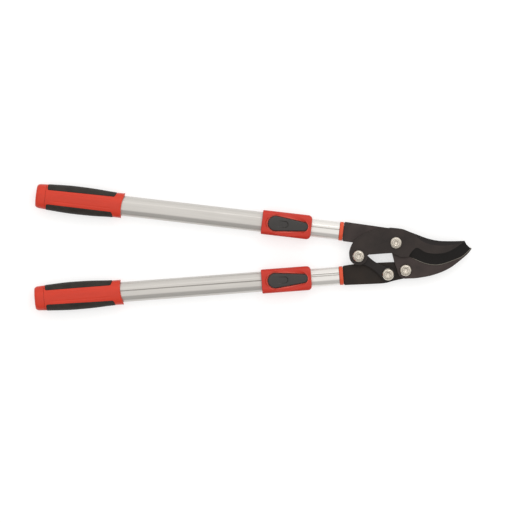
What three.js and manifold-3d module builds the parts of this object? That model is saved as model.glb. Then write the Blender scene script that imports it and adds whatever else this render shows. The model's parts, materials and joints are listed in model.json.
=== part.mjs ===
// Telescopic bypass loppers with a compound head, lying flat with the jaws closed.
// Millimetres. +X points to the jaws and +Z is up. While the pieces are drawn, the plan is
// measured from the main pivot and heights from the middle of the tubes. Each handle is drawn
// in its own frame: its x runs along the tubes to the head, from the face of the ferrule.

import * as THREE from 'three';
import { mergeVertices } from 'three/addons/utils/BufferGeometryUtils.js';
import Module from 'manifold-3d';

const wasm = await Module();
wasm.setup();

// Clearance between pieces that touch, slide or turn on each other.
const GAP = 0.3;

// Handles: where each ferrule face is, how far the handle leans and which side faces outwards.
const UPPER = { name: 'upper', origin: [-80.8, 17.6], tilt: -6.65, outward: 1 };
const LOWER = { name: 'lower', origin: [-80.8, -49.9], tilt: 4.29, outward: -1 };

// The four pivots in plan, and the bolts that make them.
const MAIN_PIVOT = new THREE.Vector2(0, 0);
const TAIL_PIVOT = new THREE.Vector2(-57.2, -20.2);
const CRANK_PIVOT = new THREE.Vector2(-11.9, -48.2);
const ARM_PIVOT = new THREE.Vector2(15.1, -41.8);
// The two bolts through the lower arm end level with the undersides of the grips.
const LOWEST = -16;
const BOLT_PROUD_OF_NUT = 1.2;
const BOLT_RADIUS = 4;
const BOLT_HEAD_RADIUS = 9.3;
const BOLT_HEAD_HEIGHT = 4.6;
const SOCKET_RADIUS = 3.3;
const SOCKET_DEPTH = 2.6;
const NUT_RADIUS = 7.4;
const NUT_HEIGHT = 5.4;
const NUT_COLLAR_RADIUS = 5.7;
const NUT_COLLAR_HEIGHT = 1.4;
const WASHER_RADIUS = 8.6;
const WASHER_THICKNESS = 1.4;

// Head plates, as [low, high] heights.
const LOWER_ARM_LAYER = [-5.2, -0.15];
const HOOK_LAYER = [0.15, 5.2];
const BLADE_LAYER = [5.5, 10];
const FASTENERS = [
  { name: 'main_pivot', place: MAIN_PIVOT, head: BLADE_LAYER[1], under: HOOK_LAYER[0] },
  { name: 'blade_link', place: TAIL_PIVOT, head: BLADE_LAYER[1], under: HOOK_LAYER[0] },
  { name: 'link_arm', place: CRANK_PIVOT, head: HOOK_LAYER[1], under: LOWER_ARM_LAYER[0] },
  { name: 'hook_arm', place: ARM_PIVOT, head: HOOK_LAYER[1], under: LOWER_ARM_LAYER[0] },
];
const ARM_HALF_WIDTH = 14.9;
const ARM_CHAMFER = 1.6;
const TANG_HALF_WIDTH = 8.5;
const TANG_LENGTH = 74;
const ARM_LOBE_RADIUS = 13;
const TAIL_LOBE_RADIUS = 14;
const LINK_END_RADIUS = 11.4;
const LINK_WAIST = 5.9;
const LINK_OPEN_HOLE_RADIUS = 6.8;
const CUTTING_EDGE_THICKNESS = 0.5;
const BACK_HOLLOW_DEPTH = 1.2;

// Tubes: half widths and half heights of the flattened oval, and the ends along the handle.
const OUTER_TUBE = { half: [15.4, 10.5], wall: 1.2, front: -60, rear: -458 };
const INNER_TUBE = { half: [13.8, 8.9], wall: 1.5, front: -5.9, rear: -430 };
const COLLAR = { half: [14.4, 9.5], length: 5.6, plug: 24 };
const GLIDE = { flange: 3, plug: 16, bore: [8, 4] };
const DETENT_COUNT = 6;
const DETENT_PITCH = 50;

// Sleeve and lock on the front end of each outer tube.
const SLEEVE = {
  front: -49,
  rear: -125,
  halfWidth: 18.5,
  low: -14,
  high: 16.5,
  corner: 6,
  pocketFloor: 11.1,
};
const LEVER = { wideX: -104, wideRadius: 11.3, narrowX: -60.6, narrowRadius: 6.6, low: 11.6 };
const LEVER_SIDE = { nose: 16.6, brow: 18.6, middle: 18.8, dip: 17.4, tail: 19.4, relief: 4 };
const LEVER_PIVOT = { x: -84, z: 13.4, radius: 1.1, halfLength: 12 };
const LEVER_CLEARANCE = 0.8;
const LOCK_PIN = { x: -64, radius: 2.5, low: 9.2, high: 14 };
const DETENT_RADIUS = 3;
const PIN_HOLE_RADIUS = 3.2;
const SPRING = { x: -105, radius: 3.4, wire: 0.45, turns: 3, low: 11.85, high: 16.2 };
const SPRING_SEAT = { radius: 4.6, high: 16.9 };

// Grips: sections along the handle as [x, half width, half height].
const GRIP_SECTIONS = [
  [-473.8, 18.3, 14],
  [-450, 19.7, 15],
  [-420, 21.1, 16],
  [-385, 20.7, 15.6],
  [-356, 19.2, 14.4],
  [-343, 19.1, 14.2],
  [-334, 20.1, 15],
];
const GRIP_STATIONS = 9;
const GRIP_POINTS_AROUND = 20;
const GRIP_SQUARENESS = 2.5;
const GRIP_FRONT = { outer: -335.5, middle: -341.5, inner: -338.5, halfSpan: 26 };
const CAP_JOINT = -458.5;
const CAP_ROUNDING = [[-473.8, 0.74], [-472.7, 0.86], [-469.8, 0.95], [-465.5, 1]];
const CAP_PLUG = 14;
const OUTER_PAD = { rear: -456, front: -348, rearEdge: 10.8, frontEdge: 12.2 };
const INNER_PAD = { rear: -456, front: -350.5, rearEdge: 11.6, frontEdge: 11.9 };
const PAD_SLANT = 7;
const PAD_CORNER = 3;
const PAD_FAR_SIDE = 30;
const PAD_DEPTH = 1.8;
const PAD_PROUD = 0.35;

const material = (color, roughness, metalness) => new THREE.MeshStandardMaterial({
  color,
  roughness,
  metalness,
});
const COATED_STEEL = () => material(0x3e3734, 0.45, 0.4);
const CHROME = () => material(0xd8d6d0, 0.15, 1);
const ZINC_STEEL = () => material(0xa9a9a6, 0.35, 1);
const ALUMINIUM = () => material(0xd2cfca, 0.3, 1);
const RED_PLASTIC = () => material(0xd2402b, 0.4, 0);
const BLACK_PLASTIC = () => material(0x3c3937, 0.55, 0);
const BLACK_RUBBER = () => material(0x34302c, 0.8, 0);

// ---- Solids ----

// How finely round things are drawn: corners of a full circle, and steps in each curve.
const ROUND_CORNERS = 18;
const ARC_STEPS = 5;
const OVAL_STEPS = 6;
// Corners nearer to each other than this become one.
const MERGE_DISTANCE = 0.005;
// A cutting solid reaches this far past the handle's pieces, up, down and sideways.
const BEYOND = 40;

function toSolid(geometry) {
  const bare = geometry.clone();
  bare.deleteAttribute('normal');
  bare.deleteAttribute('uv');
  const merged = mergeVertices(bare, 1e-4);
  return new wasm.Manifold(new wasm.Mesh({
    numProp: 3,
    vertProperties: merged.getAttribute('position').array,
    triVerts: Uint32Array.from(merged.getIndex().array),
  }));
}

function toGeometry(solid) {
  const mesh = solid.getMesh();
  const geometry = new THREE.BufferGeometry();
  geometry.setAttribute('position', new THREE.BufferAttribute(mesh.vertProperties, 3));
  geometry.setIndex(new THREE.BufferAttribute(mesh.triVerts, 1));
  geometry.computeVertexNormals();
  return geometry;
}

const cut = (base, ...tools) => toGeometry(
  tools.reduce((solid, tool) => solid.subtract(toSolid(tool)), toSolid(base)).simplify(MERGE_DISTANCE),
);
const join = (base, ...others) => toGeometry(
  others.reduce((solid, other) => solid.add(toSolid(other)), toSolid(base)),
);
const common = (a, b) => toGeometry(toSolid(a).intersect(toSolid(b)));

// A plan outline (x, y) made solid between two heights.
function slab(shape, low, high, curveSegments = ARC_STEPS) {
  const options = { depth: high - low, bevelEnabled: false, curveSegments };
  return new THREE.ExtrudeGeometry(shape, options).translate(0, 0, low);
}

// A cross-section (y, z) made solid between two places along x.
function barAlongX(shape, from, to, curveSegments = ARC_STEPS) {
  const turn = new THREE.Matrix4().makeBasis(
    new THREE.Vector3(0, 1, 0),
    new THREE.Vector3(0, 0, 1),
    new THREE.Vector3(1, 0, 0),
  );
  return slab(shape, from, to, curveSegments).applyMatrix4(turn);
}

// A side view (x, z) made solid, to the same distance either side of the middle plane.
function barAlongY(shape, halfLength, curveSegments = ARC_STEPS) {
  return slab(shape, -halfLength, halfLength, curveSegments).rotateX(Math.PI / 2);
}

function polygon(corners, radius, x = 0, y = 0) {
  const centre = new THREE.Vector2(x, y);
  return new THREE.Shape(Array.from({ length: corners }, (_, i) => new THREE.Vector2(x + radius, y)
    .rotateAround(centre, (2 * Math.PI * i) / corners)));
}

const circle = (radius, x = 0, y = 0) => polygon(ROUND_CORNERS, radius, x, y);

function withHoles(shape, ...holes) {
  shape.holes.push(...holes);
  return shape;
}

// A closed skin through rings of equal length, with a fan over each end. It always faces out.
function skin(rings) {
  const count = rings[0].length;
  const points = rings.flat();
  const triangles = [];
  const total = (ring) => ring.reduce((sum, p) => sum.add(p), new THREE.Vector3());
  const centre = (ring) => total(ring).divideScalar(count);
  const startCentre = points.push(centre(rings[0])) - 1;
  const endCentre = points.push(centre(rings.at(-1))) - 1;
  for (let i = 0; i < count; i += 1) {
    const next = (i + 1) % count;
    for (let r = 0; r + 1 < rings.length; r += 1) {
      const here = r * count;
      const there = here + count;
      triangles.push(here + i, here + next, there + next, here + i, there + next, there + i);
    }
    const last = (rings.length - 1) * count;
    triangles.push(startCentre, next, i);
    triangles.push(endCentre, last + i, last + next);
  }
  const geometry = new THREE.BufferGeometry().setFromPoints(points);
  const volume = triangles.reduce((sum, _, i) => (i % 3 ? sum
    : sum + points[triangles[i]].dot(points[triangles[i + 1]].clone().cross(points[triangles[i + 2]]))), 0);
  geometry.setIndex(volume < 0 ? triangles.reverse() : triangles);
  return geometry;
}

// ---- Head plates ----

// A point given in a handle's own frame, in plan.
function fromHandle(handle, along, across) {
  const turn = THREE.MathUtils.degToRad(handle.tilt);
  return new THREE.Vector2(along, across)
    .rotateAround(new THREE.Vector2(), turn)
    .add(new THREE.Vector2(...handle.origin));
}

// The tang and shoulders where an arm enters its tube, from the inner side to the outer side.
function tangPoints(handle, side) {
  return [
    [ARM_CHAMFER + GAP, side * ARM_HALF_WIDTH],
    [GAP, side * (ARM_HALF_WIDTH - ARM_CHAMFER)],
    [GAP, side * TANG_HALF_WIDTH],
    [-TANG_LENGTH, side * TANG_HALF_WIDTH],
    [-TANG_LENGTH, -side * TANG_HALF_WIDTH],
    [GAP, -side * TANG_HALF_WIDTH],
    [GAP, -side * (ARM_HALF_WIDTH - ARM_CHAMFER)],
    [ARM_CHAMFER + GAP, -side * ARM_HALF_WIDTH],
  ].map(([along, across]) => fromHandle(handle, along, across));
}

const vectors = (pairs) => pairs.map(([x, y]) => new THREE.Vector2(x, y));

function lineThrough(shape, points) {
  points.forEach((p) => shape.lineTo(p.x, p.y));
}

// One plate: the upper arm, the web behind the blade and the curved hook that holds the branch.
function hookPlate() {
  const [start, ...tang] = tangPoints(UPPER, 1);
  const shape = new THREE.Shape().moveTo(start.x, start.y);
  lineThrough(shape, tang);
  lineThrough(shape, vectors([[-66.4, 0.8], [-30, -5], [-13, -9], [-6, -15.5], [-2.4, -29.2]]));
  shape.absarc(ARM_PIVOT.x, ARM_PIVOT.y, ARM_LOBE_RADIUS, Math.PI, 1.56 * Math.PI);
  shape.splineThru(vectors([[33.8, -53.7], [58.3, -48.8], [82.8, -38.4], [107.3, -19.3], [115.4, -9.8]]));
  shape.quadraticCurveTo(116.6, -7.4, 113.4, -7.2);
  shape.splineThru(vectors([[104, -13.2], [84, -24], [60, -29.2], [41, -24.5], [28, -10], [24, 5]]));
  shape.quadraticCurveTo(20, 17.5, -4, 21.8);
  const pivots = [circle(BOLT_RADIUS + GAP), circle(BOLT_RADIUS + GAP, ARM_PIVOT.x, ARM_PIVOT.y)];
  return slab(withHoles(shape, ...pivots), ...HOOK_LAYER, 4);
}

function lowerArm() {
  const [start, ...tang] = tangPoints(LOWER, 1);
  const shape = new THREE.Shape().moveTo(start.x, start.y);
  lineThrough(shape, tang);
  shape.splineThru(vectors([[-30.4, -62.6], [-15.1, -61.3], [-2.1, -57.8], [12.4, -54.6]]));
  shape.absarc(ARM_PIVOT.x, ARM_PIVOT.y, ARM_LOBE_RADIUS, -0.45 * Math.PI, 0.5 * Math.PI);
  lineThrough(shape, vectors([[-2.9, -29.2], [-29.7, -30.3], [-65.6, -32.7]]));
  const pivots = [CRANK_PIVOT, ARM_PIVOT].map((p) => circle(BOLT_RADIUS + GAP, p.x, p.y));
  return slab(withHoles(shape, ...pivots), ...LOWER_ARM_LAYER, 4);
}

const BLADE_EDGE = new THREE.SplineCurve(vectors([
  [19.7, -21], [31.4, -26.3], [44.8, -31.7], [59.2, -34],
  [72, -32.4], [89.7, -26.3], [103.1, -20], [114.8, -9],
]));
const BEVEL_LINE = new THREE.SplineCurve(vectors([
  [21.5, -16.5], [31.4, -7.5], [45, -14.2], [59.2, -16.5], [76.2, -14.7], [89.7, -8.4], [105, 2.6],
]));
const BLADE_BACK = new THREE.SplineCurve(vectors([
  [33.8, 12.1], [46.1, 7.5], [58.3, 4.4], [70.5, 2.9], [88, 2.7], [105, 3.2],
]));
const HOLLOW_LINE = new THREE.SplineCurve(vectors([
  [31.5, 9], [42, 1.5], [56, -3], [72, -4.2], [90, -2.4], [103, 0.6],
]));

// The blade's outline from its tail lobe over the main pivot, and from there to its back.
const BLADE_SHOULDER = vectors([
  [-71.4, -13], [-66.4, -0.2], [-58, 8.3], [-42.7, 16.7], [-24.3, 21.2], [-8, 23.4],
]);
const BLADE_NECK = vectors([[9.3, 21.3], [21.6, 16.7], [33.8, 12.1]]);

// What is ground away between a line on the upper face and the edge that it slopes down to.
// Both curves run the same way, and the cut goes on past the edge by the overshoot.
function grind(line, edge, drop, overshoot = 1.5) {
  const steps = 10;
  const top = BLADE_LAYER[1];
  const onEdge = edge.getPoints(steps);
  const rings = line.getPoints(steps).map((near, i) => {
    const width = near.distanceTo(onEdge[i]);
    const far = near.clone().lerp(onEdge[i], 1 + overshoot / width);
    return [
      new THREE.Vector3(near.x, near.y, top),
      new THREE.Vector3(far.x, far.y, top - drop * (1 + overshoot / width)),
      new THREE.Vector3(far.x, far.y, top + 1),
      new THREE.Vector3(near.x, near.y, top + 1),
    ];
  });
  return skin(rings);
}

function cuttingBlade() {
  const shape = new THREE.Shape().moveTo(-6, -15.5);
  shape.lineTo(-41, -18);
  shape.quadraticCurveTo(-43.9, -19, TAIL_PIVOT.x + TAIL_LOBE_RADIUS, TAIL_PIVOT.y);
  shape.absarc(TAIL_PIVOT.x, TAIL_PIVOT.y, TAIL_LOBE_RADIUS, 0, -0.94 * Math.PI, true);
  shape.splineThru(BLADE_SHOULDER);
  shape.splineThru(BLADE_NECK);
  shape.splineThru(BLADE_BACK.points.slice(1));
  lineThrough(shape, vectors([[107.6, -2.1], [114.8, -9]]));
  shape.splineThru(BLADE_EDGE.points.slice(0, -1).reverse());
  shape.quadraticCurveTo(11, -22.4, 6.3, -21.6);
  const pivots = [MAIN_PIVOT, TAIL_PIVOT].map((p) => circle(BOLT_RADIUS + GAP, p.x, p.y));
  const plate = slab(withHoles(shape, ...pivots), ...BLADE_LAYER, 4);
  const bevelDrop = BLADE_LAYER[1] - BLADE_LAYER[0] - CUTTING_EDGE_THICKNESS;
  const bevel = grind(BEVEL_LINE, BLADE_EDGE, bevelDrop);
  const hollow = grind(HOLLOW_LINE, BLADE_BACK, BACK_HOLLOW_DEPTH);
  return cut(plate, bevel, hollow);
}

// The bar from the blade's tail to the lower arm. Its hole at the tail is oversize.
function powerLink() {
  const length = TAIL_PIVOT.distanceTo(CRANK_PIVOT);
  const leave = THREE.MathUtils.degToRad(118);
  const setBack = LINK_END_RADIUS * Math.cos(leave);
  const half = LINK_END_RADIUS * Math.sin(leave);
  const dip = 2 * LINK_WAIST - half;
  const shape = new THREE.Shape().absarc(length, 0, LINK_END_RADIUS, -leave, leave);
  shape.quadraticCurveTo(length / 2, dip, -setBack, half);
  shape.absarc(0, 0, LINK_END_RADIUS, Math.PI - leave, Math.PI + leave);
  shape.quadraticCurveTo(length / 2, -dip, length + setBack, -half);
  withHoles(shape, circle(BOLT_RADIUS + GAP), circle(LINK_OPEN_HOLE_RADIUS, length, 0));
  const along = TAIL_PIVOT.clone().sub(CRANK_PIVOT).angle();
  return slab(shape, ...HOOK_LAYER, 6).rotateZ(along).translate(CRANK_PIVOT.x, CRANK_PIVOT.y, 0);
}

// ---- Pivot bolts, nuts and washers ----

// A domed bolt with a hexagon socket. Its head sits on one height and its end is at another.
function bolt(place, headBase, end) {
  const crown = headBase + BOLT_HEAD_HEIGHT;
  const dome = [[0, 0], [0.38, 0.03], [0.68, 0.2], [0.9, 0.5], [1, 0.78]];
  const profile = [
    ...dome.map(([r, drop]) => [r * BOLT_HEAD_RADIUS, crown - drop * BOLT_HEAD_HEIGHT]),
    [BOLT_HEAD_RADIUS, headBase],
    [BOLT_RADIUS, headBase],
    [BOLT_RADIUS, end],
    [0, end],
  ];
  const body = new THREE.LatheGeometry(vectors(profile).reverse(), ROUND_CORNERS).rotateX(Math.PI / 2);
  const socket = slab(polygon(6, SOCKET_RADIUS), crown - SOCKET_DEPTH, crown + 1);
  return cut(body, socket).translate(place.x, place.y, 0);
}

function washer(place, top) {
  const ring = withHoles(circle(WASHER_RADIUS), circle(BOLT_RADIUS + GAP));
  return slab(ring, top - WASHER_THICKNESS, top).translate(place.x, place.y, 0);
}

// A hexagon nut with a thinner locking collar underneath.
function nut(place, top) {
  const bottom = top - NUT_HEIGHT;
  const hexagonPart = slab(withHoles(polygon(6, NUT_RADIUS), circle(BOLT_RADIUS + GAP)), bottom, top);
  const collarRing = withHoles(circle(NUT_COLLAR_RADIUS), circle(BOLT_RADIUS + GAP));
  const collar = slab(collarRing, bottom - NUT_COLLAR_HEIGHT, bottom + 0.5);
  return join(hexagonPart, collar).translate(place.x, place.y, 0);
}

// ---- Tubes ----

// A flattened oval with a flat face, a sloping face and a round side in each quarter.
function ovalOutline([halfWidth, halfHeight], Kind = THREE.Shape) {
  const flat = 0.42 * halfWidth;
  const shoulder = [0.8 * halfWidth, 0.68 * halfHeight];
  const bulge = 1.2 * halfWidth;
  const shape = new Kind().moveTo(flat, halfHeight);
  shape.lineTo(-flat, halfHeight);
  shape.lineTo(-shoulder[0], shoulder[1]);
  shape.quadraticCurveTo(-bulge, 0, -shoulder[0], -shoulder[1]);
  shape.lineTo(-flat, -halfHeight);
  shape.lineTo(flat, -halfHeight);
  shape.lineTo(shoulder[0], -shoulder[1]);
  shape.quadraticCurveTo(bulge, 0, shoulder[0], shoulder[1]);
  return shape;
}

const grown = ([halfWidth, halfHeight], amount) => [halfWidth + amount, halfHeight + amount];

function tube({ half, wall, front, rear }) {
  const section = withHoles(ovalOutline(half), ovalOutline(grown(half, -wall), THREE.Path));
  return barAlongX(section, rear, front, OVAL_STEPS);
}

function upright(radius, x, low, high) {
  return slab(circle(radius, x), low, high);
}

function outerTube() {
  return cut(tube(OUTER_TUBE), upright(PIN_HOLE_RADIUS, LOCK_PIN.x, 0, SLEEVE.high));
}

function innerTube() {
  const detents = Array.from({ length: DETENT_COUNT }, (_, i) => upright(
    DETENT_RADIUS,
    LOCK_PIN.x - i * DETENT_PITCH,
    0,
    SLEEVE.high,
  ));
  return cut(tube(INNER_TUBE), ...detents);
}

// The plastic collar at the mouth of the inner tube, with a plug slotted for the arm's tang.
function ferrule([low, high]) {
  const bore = grown(INNER_TUBE.half, -INNER_TUBE.wall - GAP);
  const collar = barAlongX(ovalOutline(COLLAR.half), -COLLAR.length, 0, OVAL_STEPS);
  const plug = barAlongX(ovalOutline(bore), -COLLAR.length - COLLAR.plug, -COLLAR.length + 1, OVAL_STEPS);
  const slot = slab(box(-COLLAR.length - COLLAR.plug - 1, 1, TANG_HALF_WIDTH + GAP), low - GAP, high + GAP);
  return cut(join(collar, plug), slot);
}

function box(from, to, halfWidth) {
  return new THREE.Shape(vectors([
    [from, -halfWidth],
    [to, -halfWidth],
    [to, halfWidth],
    [from, halfWidth],
  ]));
}

// The bush that guides the inner tube's rear end in the outer tube.
function glideBush() {
  const end = INNER_TUBE.rear - GAP;
  const bore = grown(INNER_TUBE.half, -INNER_TUBE.wall - GAP);
  const flange = barAlongX(ovalOutline(INNER_TUBE.half), end - GLIDE.flange, end, OVAL_STEPS);
  const plug = barAlongX(ovalOutline(bore), end - 1, end + GLIDE.plug, OVAL_STEPS);
  const hollow = barAlongX(ovalOutline(GLIDE.bore), end - BEYOND, end + BEYOND, OVAL_STEPS);
  return cut(join(flange, plug), hollow);
}

// ---- Sleeve and lock ----

function roundedRectangle(left, right, low, high, corner) {
  const shape = new THREE.Shape();
  shape.absarc(right - corner, high - corner, corner, 0, Math.PI / 2);
  shape.absarc(left + corner, high - corner, corner, Math.PI / 2, Math.PI);
  shape.absarc(left + corner, low + corner, corner, Math.PI, 1.5 * Math.PI);
  shape.absarc(right - corner, low + corner, corner, 1.5 * Math.PI, 2 * Math.PI);
  return shape;
}

// Two circles of different sizes and the lines that touch both.
function teardrop(grow = 0) {
  const lean = Math.acos((LEVER.wideRadius - LEVER.narrowRadius) / (LEVER.narrowX - LEVER.wideX));
  const shape = new THREE.Shape();
  shape.absarc(LEVER.wideX, 0, LEVER.wideRadius + grow, lean, 2 * Math.PI - lean);
  shape.absarc(LEVER.narrowX, 0, LEVER.narrowRadius + grow, -lean, lean);
  return shape;
}

function lockSleeve() {
  const { front, rear, halfWidth, low, high, corner } = SLEEVE;
  const body = barAlongX(roundedRectangle(-halfWidth, halfWidth, low, high, corner), rear, front, 4);
  const plan = slab(roundedRectangle(rear - corner, front, -halfWidth, halfWidth, corner), low, high, 5);
  const nose = barAlongX(ovalOutline(grown(INNER_TUBE.half, 0.4)), rear - 1, front + 1, OVAL_STEPS);
  const tubeOutline = ovalOutline(grown(OUTER_TUBE.half, GAP));
  const bore = barAlongX(tubeOutline, rear - 1, OUTER_TUBE.front + GAP, OVAL_STEPS);
  const pocket = slab(teardrop(LEVER_CLEARANCE), SLEEVE.pocketFloor, high + 1, 8);
  const lockHole = upright(PIN_HOLE_RADIUS, LOCK_PIN.x, 0, high);
  const pinOutline = circle(LEVER_PIVOT.radius + GAP, LEVER_PIVOT.x, LEVER_PIVOT.z);
  const hingeHole = barAlongY(pinOutline, LEVER_PIVOT.halfLength + GAP);
  return cut(common(body, plan), nose, bore, pocket, lockHole, hingeHole);
}

// The lever's side view: dished for the thumb, cut away below so that the wide end can be pressed.
function leverSide() {
  const tail = LEVER.wideX - LEVER.wideRadius - 1;
  const nose = LEVER.narrowX + LEVER.narrowRadius + 1;
  const shape = new THREE.Shape().moveTo(LEVER_PIVOT.x - 2, LEVER.low);
  shape.lineTo(nose, LEVER.low);
  shape.lineTo(nose, LEVER_SIDE.nose);
  shape.quadraticCurveTo(nose - 8, LEVER_SIDE.brow, LEVER_PIVOT.x + 4, LEVER_SIDE.middle);
  shape.quadraticCurveTo(LEVER.wideX + 6, LEVER_SIDE.dip, tail, LEVER_SIDE.tail);
  shape.lineTo(tail, LEVER.low + LEVER_SIDE.relief);
  return shape;
}

function lockLever() {
  const planSolid = slab(teardrop(), LEVER.low - 1, LEVER_SIDE.tail + 1, 8);
  const body = common(planSolid, barAlongY(leverSide(), BEYOND, 6));
  const pinOutline = circle(LEVER_PIVOT.radius + GAP, LEVER_PIVOT.x, LEVER_PIVOT.z);
  const pinHole = barAlongY(pinOutline, BEYOND);
  const lockHole = upright(LOCK_PIN.radius + GAP, LOCK_PIN.x, LEVER.low - 1, LOCK_PIN.high + GAP);
  const springSeat = upright(SPRING_SEAT.radius, SPRING.x, LEVER.low - 1, SPRING_SEAT.high);
  return cut(body, pinHole, lockHole, springSeat);
}

class Helix extends THREE.Curve {
  getPoint(t) {
    const angle = 2 * Math.PI * SPRING.turns * t;
    const rise = SPRING.high - SPRING.low;
    return new THREE.Vector3(
      SPRING.x + SPRING.radius * Math.cos(angle),
      SPRING.radius * Math.sin(angle),
      SPRING.low + rise * t,
    );
  }
}

function leverSpring() {
  const options = { steps: 10 * SPRING.turns, extrudePath: new Helix() };
  return new THREE.ExtrudeGeometry(polygon(5, SPRING.wire), options);
}

// ---- Grips ----

const GRIP_LINE = new THREE.CatmullRomCurve3(GRIP_SECTIONS.map((row) => new THREE.Vector3(...row)));

// A squared oval ring at one place along the grip.
function gripRing(x, halfWidth, halfHeight) {
  const power = 2 / GRIP_SQUARENESS;
  const squared = (value) => Math.sign(value) * Math.abs(value) ** power;
  return Array.from({ length: GRIP_POINTS_AROUND }, (_, i) => {
    const angle = (2 * Math.PI * i) / GRIP_POINTS_AROUND;
    const across = halfWidth * squared(Math.cos(angle));
    return new THREE.Vector3(x, across, halfHeight * squared(Math.sin(angle)));
  });
}

// The grip's outer form, made larger or smaller all round.
function gripForm(grow = 0) {
  return skin(GRIP_LINE.getPoints(GRIP_STATIONS).map((p) => gripRing(p.x, p.y + grow, p.z + grow)));
}

// All that lies in front of the grip's hollow front edge.
function beyondGripFront(outward) {
  const { outer, middle, inner } = GRIP_FRONT;
  const side = GRIP_FRONT.halfSpan * outward;
  const ahead = outer + BEYOND;
  const shape = new THREE.Shape().moveTo(outer, side);
  shape.quadraticCurveTo(2 * middle - (outer + inner) / 2, 0, inner, -side);
  lineThrough(shape, vectors([[ahead, -side], [ahead, side]]));
  return slab(shape, -BEYOND, BEYOND, 8);
}

// Where a side pad lies in plan, with a rounded rear corner and a slanted front end.
function padPlan(side, pad, grow = 0) {
  const front = pad.front + grow;
  const rear = pad.rear - grow;
  const rearEdge = (pad.rearEdge - grow) * side;
  const frontEdge = (pad.frontEdge - grow) * side;
  const beyond = PAD_FAR_SIDE * side;
  const shape = new THREE.Shape().moveTo(rear, beyond);
  shape.lineTo(rear, rearEdge + PAD_CORNER * side);
  shape.quadraticCurveTo(rear, rearEdge, rear + PAD_CORNER, rearEdge);
  shape.lineTo(front - PAD_SLANT, frontEdge);
  shape.quadraticCurveTo(front - PAD_SLANT / 2, frontEdge, front, beyond);
  return slab(shape, -BEYOND, BEYOND, 5);
}

function gripPad(side, pad) {
  const region = common(padPlan(side, pad), gripForm(PAD_PROUD));
  return cut(region, gripForm(GAP - PAD_DEPTH));
}

function gripShell(outward) {
  const tubeOutline = ovalOutline(grown(OUTER_TUBE.half, GAP));
  const bore = barAlongX(tubeOutline, CAP_JOINT - BEYOND, GRIP_FRONT.outer + BEYOND, OVAL_STEPS);
  const behindJoint = slab(box(CAP_JOINT - BEYOND, CAP_JOINT, BEYOND), -BEYOND, BEYOND);
  const core = gripForm(-PAD_DEPTH);
  const outerPocket = cut(padPlan(outward, OUTER_PAD, GAP), core);
  const innerPocket = cut(padPlan(-outward, INNER_PAD, GAP), core);
  return cut(gripForm(), beyondGripFront(outward), behindJoint, bore, outerPocket, innerPocket);
}

// The domed cap that closes the grip, with a plug in the outer tube.
function gripEndCap() {
  const rear = CAP_JOINT - GAP;
  const sizeAt = (x) => GRIP_LINE.getPoint(
    THREE.MathUtils.inverseLerp(GRIP_SECTIONS[0][0], GRIP_SECTIONS.at(-1)[0], x),
  );
  const rows = [...CAP_ROUNDING, [rear, 1]];
  const dome = skin(rows.map(([x, scale]) => gripRing(x, sizeAt(x).y * scale, sizeAt(x).z * scale)));
  const plugHalf = grown(OUTER_TUBE.half, -OUTER_TUBE.wall - GAP);
  const plug = barAlongX(ovalOutline(plugHalf), rear - 2, rear + CAP_PLUG, OVAL_STEPS);
  return join(dome, plug);
}

// ---- Assembly ----

const loppers = new THREE.Group();

function add(group, name, geometry, look) {
  const piece = new THREE.Mesh(geometry, look);
  piece.name = name;
  group.add(piece);
}

add(loppers, 'hook_jaw_and_upper_arm', hookPlate(), COATED_STEEL());
add(loppers, 'cutting_blade', cuttingBlade(), COATED_STEEL());
add(loppers, 'lower_arm', lowerArm(), COATED_STEEL());
add(loppers, 'power_link', powerLink(), COATED_STEEL());

FASTENERS.forEach(({ name, place, head, under }) => {
  const washerTop = under - GAP;
  const nutTop = washerTop - WASHER_THICKNESS - GAP;
  const nutBottom = nutTop - NUT_HEIGHT - NUT_COLLAR_HEIGHT;
  const end = under === LOWER_ARM_LAYER[0] ? LOWEST : nutBottom - BOLT_PROUD_OF_NUT;
  add(loppers, `${name}_bolt`, bolt(place, head + GAP, end), CHROME());
  add(loppers, `${name}_washer`, washer(place, washerTop), ZINC_STEEL());
  add(loppers, `${name}_nut`, nut(place, nutTop), ZINC_STEEL());
});

[[UPPER, HOOK_LAYER], [LOWER, LOWER_ARM_LAYER]].forEach(([handle, layer]) => {
  const group = new THREE.Group();
  group.position.set(...handle.origin, 0);
  group.rotation.z = THREE.MathUtils.degToRad(handle.tilt);
  loppers.add(group);
  const piece = (name, geometry, look) => add(group, `${handle.name}_${name}`, geometry, look);
  const pin = upright(LOCK_PIN.radius, LOCK_PIN.x, LOCK_PIN.low, LOCK_PIN.high);
  const hinge = circle(LEVER_PIVOT.radius, LEVER_PIVOT.x, LEVER_PIVOT.z);
  piece('ferrule', ferrule(layer), RED_PLASTIC());
  piece('inner_tube', innerTube(), ALUMINIUM());
  piece('glide_bush', glideBush(), BLACK_PLASTIC());
  piece('outer_tube', outerTube(), ALUMINIUM());
  piece('lock_sleeve', lockSleeve(), RED_PLASTIC());
  piece('lock_lever', lockLever(), BLACK_PLASTIC());
  piece('lever_hinge_pin', barAlongY(hinge, LEVER_PIVOT.halfLength), ZINC_STEEL());
  piece('lock_pin', pin, ZINC_STEEL());
  piece('lever_spring', leverSpring(), ZINC_STEEL());
  piece('grip_shell', gripShell(handle.outward), RED_PLASTIC());
  piece('grip_outer_pad', gripPad(handle.outward, OUTER_PAD), BLACK_RUBBER());
  piece('grip_inner_pad', gripPad(-handle.outward, INNER_PAD), BLACK_RUBBER());
  piece('grip_end_cap', gripEndCap(), RED_PLASTIC());
});

// The origin is under the middle of the whole tool, on the surface that it lies on.
loppers.updateMatrixWorld(true);
const bounds = new THREE.Box3().setFromObject(loppers, true);
const middle = bounds.getCenter(new THREE.Vector3());
loppers.position.set(-middle.x, -middle.y, -bounds.min.z);

export default loppers;
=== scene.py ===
import json
import math

import bmesh
import bpy
from mathutils import Matrix, Vector


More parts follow.
